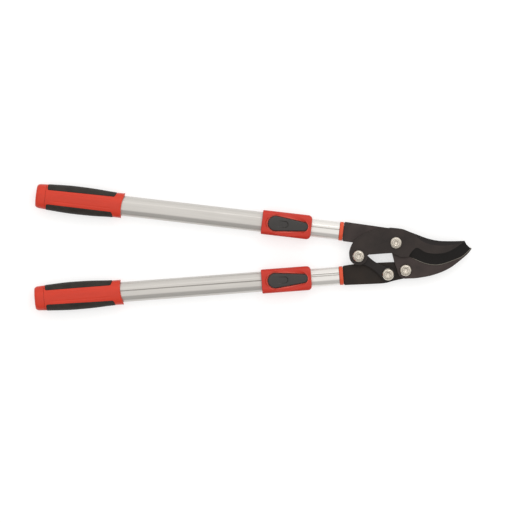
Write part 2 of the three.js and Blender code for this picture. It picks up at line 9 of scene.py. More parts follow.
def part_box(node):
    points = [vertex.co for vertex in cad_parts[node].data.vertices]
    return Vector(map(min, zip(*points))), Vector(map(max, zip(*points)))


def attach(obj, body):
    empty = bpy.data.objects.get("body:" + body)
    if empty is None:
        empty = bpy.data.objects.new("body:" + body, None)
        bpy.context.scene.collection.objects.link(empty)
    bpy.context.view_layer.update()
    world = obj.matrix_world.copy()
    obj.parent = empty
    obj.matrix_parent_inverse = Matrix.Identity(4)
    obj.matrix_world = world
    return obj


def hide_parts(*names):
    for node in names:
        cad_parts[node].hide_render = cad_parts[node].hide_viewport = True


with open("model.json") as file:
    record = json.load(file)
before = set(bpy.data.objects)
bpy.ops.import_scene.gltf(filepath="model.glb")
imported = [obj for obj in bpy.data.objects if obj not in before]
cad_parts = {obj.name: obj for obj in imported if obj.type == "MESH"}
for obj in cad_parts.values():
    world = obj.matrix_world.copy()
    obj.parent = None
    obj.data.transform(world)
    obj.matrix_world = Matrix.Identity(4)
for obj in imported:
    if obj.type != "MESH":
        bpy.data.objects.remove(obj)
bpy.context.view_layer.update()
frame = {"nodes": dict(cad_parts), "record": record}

MM = 0.001
BODY = {node: body for body, nodes in frame["record"]["behaviour"]["bodies"].items() for node in nodes}

# ---- Sizes ----

GAP = 0.3

UPPER = {"name": "upper", "origin": (-80.8, 17.6), "tilt": -6.65, "outward": 1}
LOWER = {"name": "lower", "origin": (-80.8, -49.9), "tilt": 4.29, "outward": -1}

MAIN_PIVOT = (0, 0)
TAIL_PIVOT = (-57.2, -20.2)
CRANK_PIVOT = (-11.9, -48.2)
ARM_PIVOT = (15.1, -41.8)
BOLT_RADIUS = 4
HOLE_RADIUS = BOLT_RADIUS + GAP
HEAD_RADIUS = 9.3
HEAD_HEIGHT = 4.6
SOCKET_RADIUS = 3.3
SOCKET_DEPTH = 2.6
NUT_RADIUS = 7.4
NUT_HEIGHT = 5.4
NUT_COLLAR_RADIUS = 5.7
NUT_COLLAR_HEIGHT = 1.4
WASHER_RADIUS = 8.6
WASHER_THICKNESS = 1.4
LOWEST = -16
SHORT_BOLT_END = -9.45
THREAD_PITCH = 1.0
THREAD_DEPTH = 0.35

LOWER_ARM_LAYER = (-5.2, -0.15)
HOOK_LAYER = (0.15, 5.2)
BLADE_LAYER = (5.5, 10)
ARM_HALF_WIDTH = 14.9
ARM_CHAMFER = 1.6
TANG_HALF_WIDTH = 8.5
TANG_LENGTH = 74
ARM_LOBE_RADIUS = 13
TAIL_LOBE_RADIUS = 14
LINK_END_RADIUS = 11.4
LINK_WAIST = 5.9
# How far each round end of the link reaches, either way from its outermost point, in degrees.
LINK_WRAP = 118
LINK_OPEN_HOLE_RADIUS = 6.8
PLATE_ROUNDING = 0.7
EDGE_THICKNESS = 0.5
BACK_HOLLOW_DEPTH = 1.2

OUTER_TUBE = {"half": (15.4, 10.5), "wall": 1.2, "front": -60, "rear": -458}
INNER_TUBE = {"half": (13.8, 8.9), "wall": 1.5, "front": -5.9, "rear": -430}
TUBE_EASE = 0.25
COLLAR = {"half": (14.4, 9.5), "length": 5.6, "plug": 24}
DETENT_COUNT = 6
DETENT_PITCH = 50

SLEEVE = {"front": -49, "rear": -125, "half": 18.5, "low": -14, "high": 16.5, "corner": 6}
POCKET_FLOOR = 11.1
POCKET_CHAMFER = {"width": 1.9, "drop": 0.8}
SLEEVE_REAR_CORNER = 1.5
SLEEVE_END_FILLET = 1.1
# The dish rises to its border by a power of the distance out, and ends at most at a share of the
# way to the sleeve's side.
DISH = {"x": -87, "length": 33, "half": 17.2, "depth": 1.2, "hollow": 1.25, "most": 0.985}
LEVER = {"wide_x": -104, "wide": 11.3, "narrow_x": -60.6, "narrow": 6.6, "low": 11.6}
LEVER_SIDE = {"nose": 16.6, "brow": 18.6, "middle": 18.8, "dip": 17.4, "tail": 19.4, "relief": 4}
LEVER_ROUNDING = 1.3
LEVER_CROWN = 0.8
LEVER_PIVOT = {"x": -84, "z": 13.4, "radius": 1.1, "half": 12}
LEVER_CLEARANCE = 0.8
LOCK_PIN = {"x": -64, "radius": 2.5, "low": 9.2, "high": 14}
DETENT_RADIUS = 3
PIN_HOLE_RADIUS = 3.2
# The spring piece can't shorten, so it is drawn at its height when the lever is pressed.
SPRING = {"x": -105, "radius": 3.4, "wire": 0.45, "turns": 2, "low": 11.85, "high": 13.8}
SPRING_SEAT = {"radius": 4.6, "high": 16.9}
THUMB_MARK = {"from": -106, "to": -89.6, "radius": 5.3, "depth": 1.5, "wall": 1.0}

GRIP_SECTIONS = [
    (-473.8, 18.3, 14),
    (-450, 19.7, 15),
    (-420, 21.1, 16),
    (-385, 20.7, 15.6),
    (-356, 19.2, 14.4),
    (-343, 19.1, 14.2),
    (-334, 20.1, 15),
]
GRIP_SQUARENESS = 2.5
GRIP_FRONT = {"outer": -335.5, "middle": -341.5, "inner": -338.5, "side": 26}
CAP_JOINT = -458.5
CAP_ROUNDING = {"start": -467, "end": -472.9, "scale": 0.8, "rear": -473.8}
CAP_PLUG = 14
OUTER_PAD = {"rear": -456, "front": -348, "rear_edge": 10.8, "front_edge": 12.2}
INNER_PAD = {"rear": -456, "front": -350.5, "rear_edge": 11.6, "front_edge": 11.9}
PAD_SLANT = 7
PAD_CORNER = 3
PAD_TIP_START = -362
PAD_BEYOND = 30
PAD_DEPTH = 1.8
PAD_PROUD = 0.35
PAD_EDGE_ROUNDING = 0.9

# ---- Where the pieces go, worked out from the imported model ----

pivot_low, pivot_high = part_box("main_pivot_bolt")
tube_low, tube_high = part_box("upper_outer_tube")
HEAD_PLACE = Matrix.Translation((
    (pivot_low.x + pivot_high.x) / 2,
    (pivot_low.y + pivot_high.y) / 2,
    (tube_low.z + tube_high.z) / 2,
))


def head_place(x=0, y=0):
    return HEAD_PLACE @ Matrix.Translation((x * MM, y * MM, 0))


def handle_place(handle):
    turn = Matrix.Rotation(math.radians(handle["tilt"]), 4, "Z")
    return head_place(*handle["origin"]) @ turn


# ---- Outlines ----


def spline_point(points, share):
    """A point of a uniform Catmull-Rom spline, at a share of the way along its list of points."""
    last = len(points) - 1
    place = min(share * last, last - 1e-9)
    i = int(place)
    t = place - i
    before, start, end, after = (Vector(points[max(0, min(last, i + k))]) for k in (-1, 0, 1, 2))
    leave = (end - before) / 2
    arrive = (after - start) / 2
    cubic = (2 * start - 2 * end + leave + arrive) * t**3
    square = (3 * end - 3 * start - 2 * leave - arrive) * t**2
    return cubic + square + leave * t + start


class Outline:
    """A plan outline drawn point by point, from a starting point."""

    def __init__(self, x, y):
        self.points = [Vector((x, y))]

    def lines(self, pairs):
        self.points += [Vector(pair) for pair in pairs]
        return self

    def curve(self, control, end, steps=10):
        start, control, end = self.points[-1], Vector(control), Vector(end)
        for i in range(1, steps + 1):
            t = i / steps
            self.points.append(start * (1 - t) ** 2 + control * 2 * t * (1 - t) + end * t * t)
        return self

    def spline(self, pairs, steps=10):
        knots = [self.points[-1]] + [Vector(pair) for pair in pairs]
        count = steps * (len(knots) - 1)
        self.points += [spline_point(knots, i / count) for i in range(1, count + 1)]
        return self

    def arc(self, centre, radius, start, end, steps=32):
        for i in range(steps + 1):
            angle = math.pi * (start + (end - start) * i / steps)
            self.points.append(Vector(centre) + radius * Vector((math.cos(angle), math.sin(angle))))
        return self

    def closed(self):
        """The outline counter-clockwise, without its repeated points."""
        kept = [p for i, p in enumerate(self.points) if (p - self.points[i - 1]).length > 1e-3]
        area = sum(kept[i - 1].cross(p) for i, p in enumerate(kept))
        return kept if area > 0 else kept[::-1]


def full_turn(count):
    """Evenly spaced angles round a full turn."""
    return [2 * math.pi * i / count for i in range(count)]


def polar(centre, radius, angle):
    return centre[0] + radius * math.cos(angle), centre[1] + radius * math.sin(angle)


def circle(radius, centre=(0, 0), steps=64):
    return Outline(centre[0] + radius, centre[1]).arc(centre, radius, 0, 2, steps).closed()


def inset(outline, distance):
    """The outline moved towards its left side, which is where the material is."""
    moved = []
    for i, point in enumerate(outline):
        before = (point - outline[i - 1]).normalized()
        after = (outline[(i + 1) % len(outline)] - point).normalized()
        left = Vector((-before.y - after.y, before.x + after.x))
        mitre = max(0.5, left.length_squared / 4)
        moved.append(point + left / 2 * distance / mitre)
    return moved


def from_handle(handle, along, across):
    turn = math.radians(handle["tilt"])
    x = along * math.cos(turn) - across * math.sin(turn)
    y = along * math.sin(turn) + across * math.cos(turn)
    return (handle["origin"][0] + x, handle["origin"][1] + y)


def tang_points(handle, side=1):
    """The tang and shoulders where an arm enters its tube, from one side to the other."""
    shoulder = ARM_HALF_WIDTH - ARM_CHAMFER
    places = [
        (ARM_CHAMFER + GAP, side * ARM_HALF_WIDTH),
        (GAP, side * shoulder),
        (GAP, side * TANG_HALF_WIDTH),
        (-TANG_LENGTH, side * TANG_HALF_WIDTH),
        (-TANG_LENGTH, -side * TANG_HALF_WIDTH),
        (GAP, -side * TANG_HALF_WIDTH),
        (GAP, -side * shoulder),
        (ARM_CHAMFER + GAP, -side * ARM_HALF_WIDTH),
    ]
    return [from_handle(handle, along, across) for along, across in places]


# ---- Meshes ----


def shade(mesh, crease=35, flat_tops=False):
    """Smooth shading with creases. With flat_tops, level faces stay flat up to their borders."""
    bm = bmesh.new()
    bm.from_mesh(mesh)
    for face in bm.faces:
        face.smooth = True
    level = {face: abs(face.normal.z) > 0.9999 for face in bm.faces}
    for edge in bm.edges:
        if len(edge.link_faces) != 2:
            continue
        a, b = edge.link_faces
        bend = a.normal.angle(b.normal, 0)
        edge.smooth = bend < math.radians(crease) and not (flat_tops and level[a] != level[b])
    bm.to_mesh(mesh)
    bm.free()
    return mesh


def to_mesh(bm, name):
    """The bmesh in millimetres as a mesh in metres, welded and facing out."""
    bmesh.ops.remove_doubles(bm, verts=bm.verts, dist=1e-4)
    bmesh.ops.dissolve_degenerate(bm, edges=bm.edges, dist=1e-5)
    bmesh.ops.recalc_face_normals(bm, faces=bm.faces)
    bmesh.ops.scale(bm, verts=bm.verts, vec=(MM, MM, MM))
    mesh = bpy.data.meshes.new(name)
    bm.to_mesh(mesh)
    bm.free()
    return mesh


def plate(name, outlines, low, high, rounding=PLATE_ROUNDING, steps=4):
    """A closed plate between two heights. The first outline is its border and the rest are holes."""
    bm = bmesh.new()
    quarter = [math.pi / 2 * i / steps for i in range(steps + 1)]
    up = [(rounding * (1 - math.sin(a)), low + rounding * (1 - math.cos(a))) for a in quarter]
    rows = up + [(d, low + high - z) for d, z in reversed(up)]
    borders = [[], []]
    for number, outline in enumerate(outlines):
        facing = outline if number == 0 else outline[::-1]
        rings = [[bm.verts.new((*p, z)) for p in inset(facing, d)] for d, z in rows]
        for lower, upper in zip(rings, rings[1:]):
            for i in range(len(facing)):
                bm.faces.new((lower[i - 1], lower[i], upper[i], upper[i - 1]))
        borders[0] += [bm.edges.get((rings[0][i - 1], rings[0][i])) for i in range(len(facing))]
        borders[1] += [bm.edges.get((rings[-1][i - 1], rings[-1][i])) for i in range(len(facing))]
    for border in borders:
        bmesh.ops.triangle_fill(bm, use_beauty=True, use_dissolve=False, edges=border)
    return to_mesh(bm, name)


def loft(name, rings, ends=True, wrap=False):
    """A skin through rings with equal numbers of points, with a fan over each end."""
    bm = bmesh.new()
    rows = [[bm.verts.new(p) for p in ring] for ring in rings]
    pairs = list(zip(rows, rows[1:]))
    if wrap:
        pairs.append((rows[-1], rows[0]))
    for here, there in pairs:
        for i in range(len(here)):
            bm.faces.new((here[i - 1], here[i], there[i], there[i - 1]))
    for row, ring in ((rows[0], rings[0]), (rows[-1], rings[-1])) if ends else ():
        middle = bm.verts.new(sum((Vector(p) for p in ring), Vector()) / len(ring))
        for i in range(len(row)):
            bm.faces.new((row[i - 1], row[i], middle))
    return to_mesh(bm, name)


def carve(mesh, *cutters, operation="DIFFERENCE", folded=False):
    """The mesh after each cutter is taken away from it, or joined to it. The cutters are used up.
    Folded is for cutters that may cross themselves."""
    base = bpy.data.objects.new("base", mesh)
    bpy.context.scene.collection.objects.link(base)
    tools = [bpy.data.objects.new("tool", cutter) for cutter in cutters]
    for tool in tools:
        bpy.context.scene.collection.objects.link(tool)
        step = base.modifiers.new("carve", "BOOLEAN")
        step.operation = operation
        step.solver = "EXACT"
        step.use_self = folded
        step.object = tool
    bpy.context.view_layer.update()
    result = bpy.data.meshes.new_from_object(base.evaluated_get(bpy.context.evaluated_depsgraph_get()))
    for thing in [base, *tools]:
        old = thing.data
        bpy.data.objects.remove(thing)
        bpy.data.meshes.remove(old)
    return result


def rod(radius, low, high, x=0, y=0, steps=32, rounding=0.0):
    """An upright rod, as a mesh, with its rims rounded."""
    return plate("rod", [circle(radius, (x, y), steps)], low, high, rounding or 1e-3, 3)


def cross_rod(radius, x, z, half, steps=32, rounding=0.0):
    """A rod across the handle, as a mesh."""
    mesh = rod(radius, -half, half, steps=steps, rounding=rounding)
    mesh.transform(Matrix.Translation((x * MM, 0, z * MM)) @ Matrix.Rotation(math.pi / 2, 4, "X"))
    return mesh


def block(low, high):
    """A plain box between two corners, only ever used as a cutter."""
    bm = bmesh.new()
    bmesh.ops.create_cube(bm, size=1)
    size = Vector(high) - Vector(low)
    bmesh.ops.scale(bm, verts=bm.verts, vec=size)
    bmesh.ops.translate(bm, verts=bm.verts, vec=(Vector(low) + Vector(high)) / 2)
    return to_mesh(bm, "block")


# ---- Materials ----


def new_material(name):
    made = bpy.data.materials.new(name)
    made.use_nodes = True
    return made, made.node_tree, made.node_tree.nodes["Principled BSDF"]


def add_node(tree, kind, inputs, **settings):
    made = tree.nodes.new(kind)
    for key, value in settings.items():
        setattr(made, key, value)
    for key, value in inputs.items():
        if isinstance(value, bpy.types.NodeSocket):
            tree.links.new(value, made.inputs[key])
        else:
            made.inputs[key].default_value = value
    return made


def millimetres(tree, stretch=(1, 1, 1)):
    """The piece's own coordinates in millimetres, stretched along its axes."""
    own = tree.nodes.new("ShaderNodeTexCoord")
    scale = tuple(1000 * s for s in stretch)
    mapped = add_node(tree, "ShaderNodeMapping", {"Vector": own.outputs["Object"], "Scale": scale})
    return mapped.outputs["Vector"]


def noise(tree, vector, per_mm, detail=3.0):
    settings = {"Vector": vector, "Scale": per_mm, "Detail": detail}
    return add_node(tree, "ShaderNodeTexNoise", settings).outputs["Fac"]


def remap(tree, value, low, high, to_low, to_high):
    settings = {"Value": value, "From Min": low, "From Max": high, "To Min": to_low, "To Max": to_high}
    return add_node(tree, "ShaderNodeMapRange", settings).outputs["Result"]


def multiply(tree, a, b):
    return add_node(tree, "ShaderNodeMath", {0: a, 1: b}, operation="MULTIPLY").outputs["Value"]


def blend_colours(tree, share, a, b):
    """Inputs 6 and 7 and output 2 are the colour sockets of the Mix node."""
    mixed = add_node(tree, "ShaderNodeMix", {0: share, 6: a, 7: b}, data_type="RGBA")
    return mixed.outputs[2]


def bump(tree, height, depth_mm, strength=1.0, under=None):
    inputs = {"Height": height, "Distance": depth_mm * MM, "Strength": strength}
    if under is not None:
        inputs["Normal"] = under
    return add_node(tree, "ShaderNodeBump", inputs).outputs["Normal"]


def edges(tree, width_mm):
    """1 on the piece's edges and 0 on its faces."""
    rounded = add_node(tree, "ShaderNodeBevel", {"Radius": width_mm * MM}, samples=4)
    plain = tree.nodes.new("ShaderNodeNewGeometry")
    settings = {0: rounded.outputs["Normal"], 1: plain.outputs["Normal"]}
    alike = add_node(tree, "ShaderNodeVectorMath", settings, operation="DOT_PRODUCT")
    return remap(tree, alike.outputs["Value"], 0.985, 0.86, 0, 1)


def painted_shade_in_hollows(tree, reach_mm, most):
    """0 in the open, rising to a share in grooves and corners: a mask for painted shade where light is
    blocked.
    """
    painted_shade_occlusion = add_node(tree, "ShaderNodeAmbientOcclusion", {"Distance": reach_mm * MM}, samples=6)
    return remap(tree, painted_shade_occlusion.outputs["AO"], 0.25, 0.85, most, 0)


def colour(red, green, blue, times=1.0):
    return (red * times, green * times, blue * times, 1)


def wire(tree, shader, base, roughness, normal, metallic=0.0, specular=0.5):
    """The shader's colour, roughness and relief from nodes, and its all-over values."""
    tree.links.new(base, shader.inputs["Base Color"])
    tree.links.new(roughness, shader.inputs["Roughness"])
    tree.links.new(normal, shader.inputs["Normal"])
    shader.inputs["Metallic"].default_value = metallic
    shader.inputs["Specular IOR Level"].default_value = specular


def coated_steel(name, tone, grain=(1, 1, 1)):
    """Dark non-stick coating over ground steel, rubbed thin along its edges."""
    made, tree, shader = new_material(name)
    vector = millimetres(tree)
    patches = noise(tree, vector, 0.05, 4)
    speckle = noise(tree, vector, 3.5, 2)
    mix = remap(tree, patches, 0.3, 0.7, 0, 1)
    base = blend_colours(tree, mix, colour(*tone, 0.72), colour(*tone, 1.35))
    dots = remap(tree, speckle, 0.62, 0.74, 0, 0.3)
    base = blend_colours(tree, dots, base, colour(0.075, 0.068, 0.062))
    rubbed = remap(tree, noise(tree, vector, 0.4, 4), 0.42, 0.66, 0.05, 0.6)
    worn = multiply(tree, edges(tree, 0.35), rubbed)
    base = blend_colours(tree, worn, base, colour(0.2, 0.19, 0.18))
    lines = bump(tree, noise(tree, millimetres(tree, grain), 1.6, 3), 0.012, 0.5)
    relief = bump(tree, speckle, 0.01, 0.5, lines)
    wire(tree, shader, base, remap(tree, patches, 0.3, 0.7, 0.42, 0.56), relief, specular=0.22)
    return made


def bare_steel(name, tone, rough=(0.22, 0.4), grain=(0.6, 8, 8)):
    """Ground steel with fine lines along or across the piece."""
    made, tree, shader = new_material(name)
    lines = noise(tree, millimetres(tree, grain), 1.2, 4)
    patches = noise(tree, millimetres(tree), 0.15, 3)
    mix = remap(tree, lines, 0.35, 0.65, 0, 1)
    base = blend_colours(tree, mix, colour(*tone, 0.8), colour(*tone))
    roughness = remap(tree, patches, 0.3, 0.7, *rough)
    wire(tree, shader, base, roughness, bump(tree, lines, 0.008, 0.6), metallic=1)
    return made


def nickel(name):
    """Bright plating with faint turning rings round the bolt's axis, small dull patches, and painted
    shade in its socket and groove.
    """
    made, tree, shader = new_material(name)
    vector = millimetres(tree)
    settings = {"Vector": vector, "Scale": 1.1, "Distortion": 0.25, "Detail": 2}
    rings = add_node(tree, "ShaderNodeTexWave", settings, wave_type="RINGS", rings_direction="Z")
    patches = noise(tree, vector, 0.5, 5)
    dull = remap(tree, patches, 0.4, 0.75, 0, 1)
    base = blend_colours(tree, dull, colour(0.76, 0.7, 0.61), colour(0.5, 0.45, 0.38))
    # Painted shade: the socket, the groove and the bolt's other hollows darken nearly to black.
    base = blend_colours(tree, painted_shade_in_hollows(tree, 2.2, 0.95), base, colour(0.05, 0.04, 0.03))
    turned = bump(tree, rings.outputs["Fac"], 0.01, 0.35)
    relief = bump(tree, noise(tree, vector, 2.2, 3), 0.012, 0.3, turned)
    wire(tree, shader, base, remap(tree, patches, 0.3, 0.75, 0.08, 0.24), relief, metallic=1)
    return made


def zinc(name):
    """Dull zinc plating with a fine crystal mottle, whiter on its edges."""
    made, tree, shader = new_material(name)
    vector = millimetres(tree)
    cells = add_node(tree, "ShaderNodeTexVoronoi", {"Vector": vector, "Scale": 0.9})
    mottle = noise(tree, vector, 0.8, 4)
    base = blend_colours(tree, mottle, colour(0.36, 0.36, 0.35), colour(0.54, 0.54, 0.52))
    base = blend_colours(tree, edges(tree, 0.3), base, colour(0.62, 0.62, 0.6))
    roughness = remap(tree, cells.outputs["Distance"], 0, 1, 0.3, 0.48)
    wire(tree, shader, base, roughness, bump(tree, mottle, 0.015, 0.5), metallic=1)
    return made


def aluminium(name, tone):
    """Satin drawn tube: long fine draw lines, a few faint scuffs, soft patches, and painted shade in
    its grooves and holes.
    """
    made, tree, shader = new_material(name)
    draw = noise(tree, millimetres(tree, (0.012, 3.2, 3.2)), 1.0, 5)
    patches = noise(tree, millimetres(tree, (0.3, 1, 1)), 0.06, 4)
    scuffs = noise(tree, millimetres(tree, (0.25, 1.6, 1.6)), 0.9, 6)
    mix = remap(tree, draw, 0.35, 0.65, 0, 1)
    base = blend_colours(tree, mix, colour(*tone, 0.88), colour(*tone))
    base = blend_colours(tree, remap(tree, scuffs, 0.66, 0.76, 0, 0.35), base, colour(*tone, 0.7))
    # Painted shade: grooves, holes and corners darken towards a quarter of the tube's tone.
    base = blend_colours(tree, painted_shade_in_hollows(tree, 1.4, 0.8), base, colour(*tone, 0.25))
    roughness = remap(tree, patches, 0.3, 0.7, 0.38, 0.48)
    wire(tree, shader, base, roughness, bump(tree, draw, 0.012, 0.6), metallic=1)
    return made


def moulded(name, tone, wear_and_sheen_tone, rough, texture_mm=0.012, gloss=0.3, edge_mm=0.45):
    """Moulded plastic with a fine satin texture, faint flow marks and paler edges: rubbed wear on most
    pieces, painted sheen on the sleeve.
    """
    made, tree, shader = new_material(name)
    vector = millimetres(tree)
    flow = noise(tree, millimetres(tree, (0.3, 1, 1)), 0.08, 3)
    fine = noise(tree, vector, 4.0, 2)
    mix = remap(tree, flow, 0.3, 0.7, 0, 1)
    base = blend_colours(tree, mix, colour(*tone, 0.86), colour(*tone))
    # The pale edge band is rubbed wear, except on the sleeve, where its width and paleness paint a
    # sheen.
    rubbed = remap(tree, noise(tree, vector, 0.5, 3), 0.35, 0.65, 0.3, 0.8)
    base = blend_colours(tree, multiply(tree, edges(tree, edge_mm), rubbed), base, colour(*wear_and_sheen_tone))
    roughness = remap(tree, fine, 0.3, 0.7, rough - 0.05, rough + 0.07)
    wire(tree, shader, base, roughness, bump(tree, fine, texture_mm, 0.6), specular=gloss)
    return made


def rubber(name):
    """Soft matt rubber with a pebbled surface and dusty high spots."""
    made, tree, shader = new_material(name)
    vector = millimetres(tree)
    settings = {"Vector": vector, "Scale": 1.3}
    pebbles = add_node(tree, "ShaderNodeTexVoronoi", settings, feature="SMOOTH_F1")
    dust = noise(tree, vector, 0.12, 5)
    mix = remap(tree, dust, 0.35, 0.7, 0, 1)
    base = blend_colours(tree, mix, colour(0.014, 0.011, 0.008), colour(0.03, 0.025, 0.02))
    worn = multiply(tree, edges(tree, 0.6), remap(tree, dust, 0.4, 0.6, 0.1, 0.5))
    base = blend_colours(tree, worn, base, colour(0.085, 0.072, 0.06))
    relief = bump(tree, pebbles.outputs["Distance"], 0.12, 0.55)
    wire(tree, shader, base, remap(tree, dust, 0.3, 0.7, 0.6, 0.8), relief, specular=0.35)
    return made


def floor_paint(name):
    """Plain pale studio floor with the least unevenness."""
    made, tree, shader = new_material(name)
    cloud = noise(tree, millimetres(tree), 0.004, 2)
    base = blend_colours(tree, cloud, colour(0.46, 0.46, 0.46), colour(0.48, 0.48, 0.48))
    tree.links.new(base, shader.inputs["Base Color"])
    shader.inputs["Roughness"].default_value = 0.9
    shader.inputs["Specular IOR Level"].default_value = 0.1
    shader.inputs["Emission Color"].default_value = colour(1, 1, 1)
    shader.inputs["Emission Strength"].default_value = 0.58
    return made


ARM_STEEL = coated_steel("coated_upper_arm", (0.036, 0.026, 0.024), (0.2, 3, 1))
LOWER_STEEL = coated_steel("coated_lower_arm", (0.016, 0.011, 0.008), (0.2, 3, 1))
BLADE_STEEL = coated_steel("coated_blade", (0.024, 0.018, 0.016), (2.5, 0.3, 1))
LINK_STEEL = coated_steel("coated_link", (0.014, 0.011, 0.010), (1, 1, 1))
HOLLOW_STEEL = coated_steel("coated_hollow", (0.010, 0.0075, 0.007), (2.5, 0.3, 1))
BEVEL_STEEL = coated_steel("coated_bevel", (0.004, 0.003, 0.0025), (3.5, 0.25, 1))
EDGE_STEEL = bare_steel("cutting_edge_steel", (0.4, 0.37, 0.32), (0.3, 0.45))
# Painted shade: the hinge pin's steel is near black, standing in for the shade in the narrow gap
# beside the lever.
PIN_STEEL_PAINTED_DARK = bare_steel("pin_steel_painted_shade", (0.07, 0.065, 0.06), (0.35, 0.5))
NICKEL = nickel("nickel_plate")
ZINC = zinc("zinc_plate")
OUTER_ALUMINIUM = aluminium("satin_aluminium", (0.64, 0.62, 0.59))
INNER_ALUMINIUM = aluminium("bright_aluminium", (0.82, 0.8, 0.77))
RED = moulded("red_moulding", (0.61, 0.04, 0.017), (0.76, 0.11, 0.07), 0.36)
# Painted sheen: the sleeve's wide, pale edge band stands in for the gloss along its rims and round the
# lever's pocket.
SLEEVE_RED_WITH_PAINTED_SHEEN = moulded("sleeve_moulding_painted_sheen", (0.53, 0.03, 0.015), (0.8, 0.18, 0.14), 0.36, edge_mm=1.0)
# Painted sheen: a paler copy of the sleeve's red for the chamfer round the lever's pocket, standing in
# for its gloss.
RIM_RED_PAINTED_SHEEN = moulded("pocket_rim_painted_sheen", (0.72, 0.1, 0.07), (0.86, 0.24, 0.19), 0.3)
ORANGE = moulded("ferrule_moulding", (0.68, 0.08, 0.03), (0.8, 0.2, 0.12), 0.4)
BLACK = moulded("black_moulding", (0.024, 0.021, 0.019), (0.1, 0.09, 0.08), 0.36, 0.02, 0.5)
RUBBER = rubber("black_rubber_pad")


def show(node, mesh, place, *looks):
    """A finely made piece that stands for a CAD node, on its body and with its material slot."""
    for look in looks:
        mesh.materials.append(look)
    piece = bpy.data.objects.new(node + "_fine", mesh)
    mesh.name = piece.name
    bpy.context.scene.collection.objects.link(piece)
    piece.matrix_world = place
    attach(piece, BODY[node])
    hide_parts(node)
    return piece


# ---- Head plates ----


def hook_plate():
    outline = Outline(*tang_points(UPPER)[0]).lines(tang_points(UPPER)[1:])
    outline.lines([(-66.4, 0.8), (-30, -5), (-13, -9)]).curve((-8, -11), (-6, -15.5), 6)
    outline.lines([(-2.4, -29.2)]).arc(ARM_PIVOT, ARM_LOBE_RADIUS, 1, 1.56)
    outline.spline([(33.8, -53.7), (58.3, -48.8), (82.8, -38.4), (107.3, -19.3), (115.4, -9.8)])
    outline.curve((116.6, -7.4), (113.4, -7.2), 6)
    outline.spline([(104, -13.2), (84, -24), (60, -29.2), (41, -24.5), (28, -10), (24, 5)])
    outline.curve((20, 17.5), (-4, 21.8))
    holes = [circle(HOLE_RADIUS, MAIN_PIVOT), circle(HOLE_RADIUS, ARM_PIVOT)]
    mesh = plate("hook", [outline.closed(), *holes], *HOOK_LAYER)
    return shade(mesh, flat_tops=True)


def lower_arm_plate():
    outline = Outline(*tang_points(LOWER)[0]).lines(tang_points(LOWER)[1:])
    outline.spline([(-30.4, -62.6), (-15.1, -61.3), (-2.1, -57.8), (12.4, -54.6)])
    outline.arc(ARM_PIVOT, ARM_LOBE_RADIUS, -0.45, 0.5)
    outline.lines([(-2.9, -29.2), (-29.7, -30.3), (-65.6, -32.7)])
    holes = [circle(HOLE_RADIUS, CRANK_PIVOT), circle(HOLE_RADIUS, ARM_PIVOT)]
    mesh = plate("lower", [outline.closed(), *holes], *LOWER_ARM_LAYER)
    return shade(mesh, flat_tops=True)


def power_link_plate():
    reach = Vector(TAIL_PIVOT) - Vector(CRANK_PIVOT)
    length = reach.length
    turned = LINK_WRAP / 180
    leave = math.radians(LINK_WRAP)
    set_back = LINK_END_RADIUS * math.cos(leave)
    half = LINK_END_RADIUS * math.sin(leave)
    dip = 2 * LINK_WAIST - half
    outline = Outline(length + set_back, -half).arc((length, 0), LINK_END_RADIUS, -turned, turned)
    outline.curve((length / 2, dip), (-set_back, half), 24)
    outline.arc((0, 0), LINK_END_RADIUS, 1 - turned, 1 + turned)
    outline.curve((length / 2, -dip), (length + set_back, -half), 24)
    holes = [circle(HOLE_RADIUS), circle(LINK_OPEN_HOLE_RADIUS, (length, 0))]
    mesh = plate("link", [outline.closed(), *holes], *HOOK_LAYER)
    turn = Matrix.Rotation(math.atan2(reach.y, reach.x), 4, "Z")
    mesh.transform(Matrix.Translation((CRANK_PIVOT[0] * MM, CRANK_PIVOT[1] * MM, 0)) @ turn)
    return shade(mesh, flat_tops=True)


BLADE_EDGE = [
    (19.7, -21), (31.4, -26.3), (44.8, -31.7), (59.2, -34),
    (72, -32.4), (89.7, -26.3), (103.1, -20), (114.8, -9),
]
BEVEL_LINE = [
    (21.5, -16.5), (31.4, -7.5), (45, -14.2), (59.2, -16.5), (76.2, -14.7), (89.7, -8.4), (105, 2.6),
]
BLADE_BACK = [(33.8, 12.1), (46.1, 7.5), (58.3, 4.4), (70.5, 2.9), (88, 2.7), (105, 3.2)]
HOLLOW_LINE = [(31.5, 9), (42, 1.5), (56, -3), (72, -4.2), (90, -2.4), (103, 0.6)]
GRIND_STEPS = 64
EDGE_BAND = 0.955


def grind(line, edge, profile, look, last_look=None, overshoot=1.5):
    """What is ground off between a line on the upper face and an edge, to (share, drop) depths."""
    top = BLADE_LAYER[1]
    (share_before, drop_before), (_, last_drop) = profile[-2:]
    fall = (last_drop - drop_before) / (1 - share_before)
    rings = []
    for i in range(GRIND_STEPS + 1):
        near = spline_point(line, i / GRIND_STEPS)
        far = spline_point(edge, i / GRIND_STEPS)
        beyond = 1 + overshoot / (far - near).length
        ring = [(*near.lerp(far, share), top - drop) for share, drop in profile[:-1]]
        ring.append((*near.lerp(far, beyond), top - last_drop - fall * (beyond - 1)))
        ring.append((*near.lerp(far, beyond), top + 1))
        ring.append((*near, top + 1))
        rings.append(ring)
    mesh = loft("grind", rings)
    band_top = (top - profile[-2][1] - 0.02) * MM
    for face in mesh.polygons:
        in_band = last_look is not None and face.center.z < band_top
        face.material_index = last_look if in_band else look
    return mesh


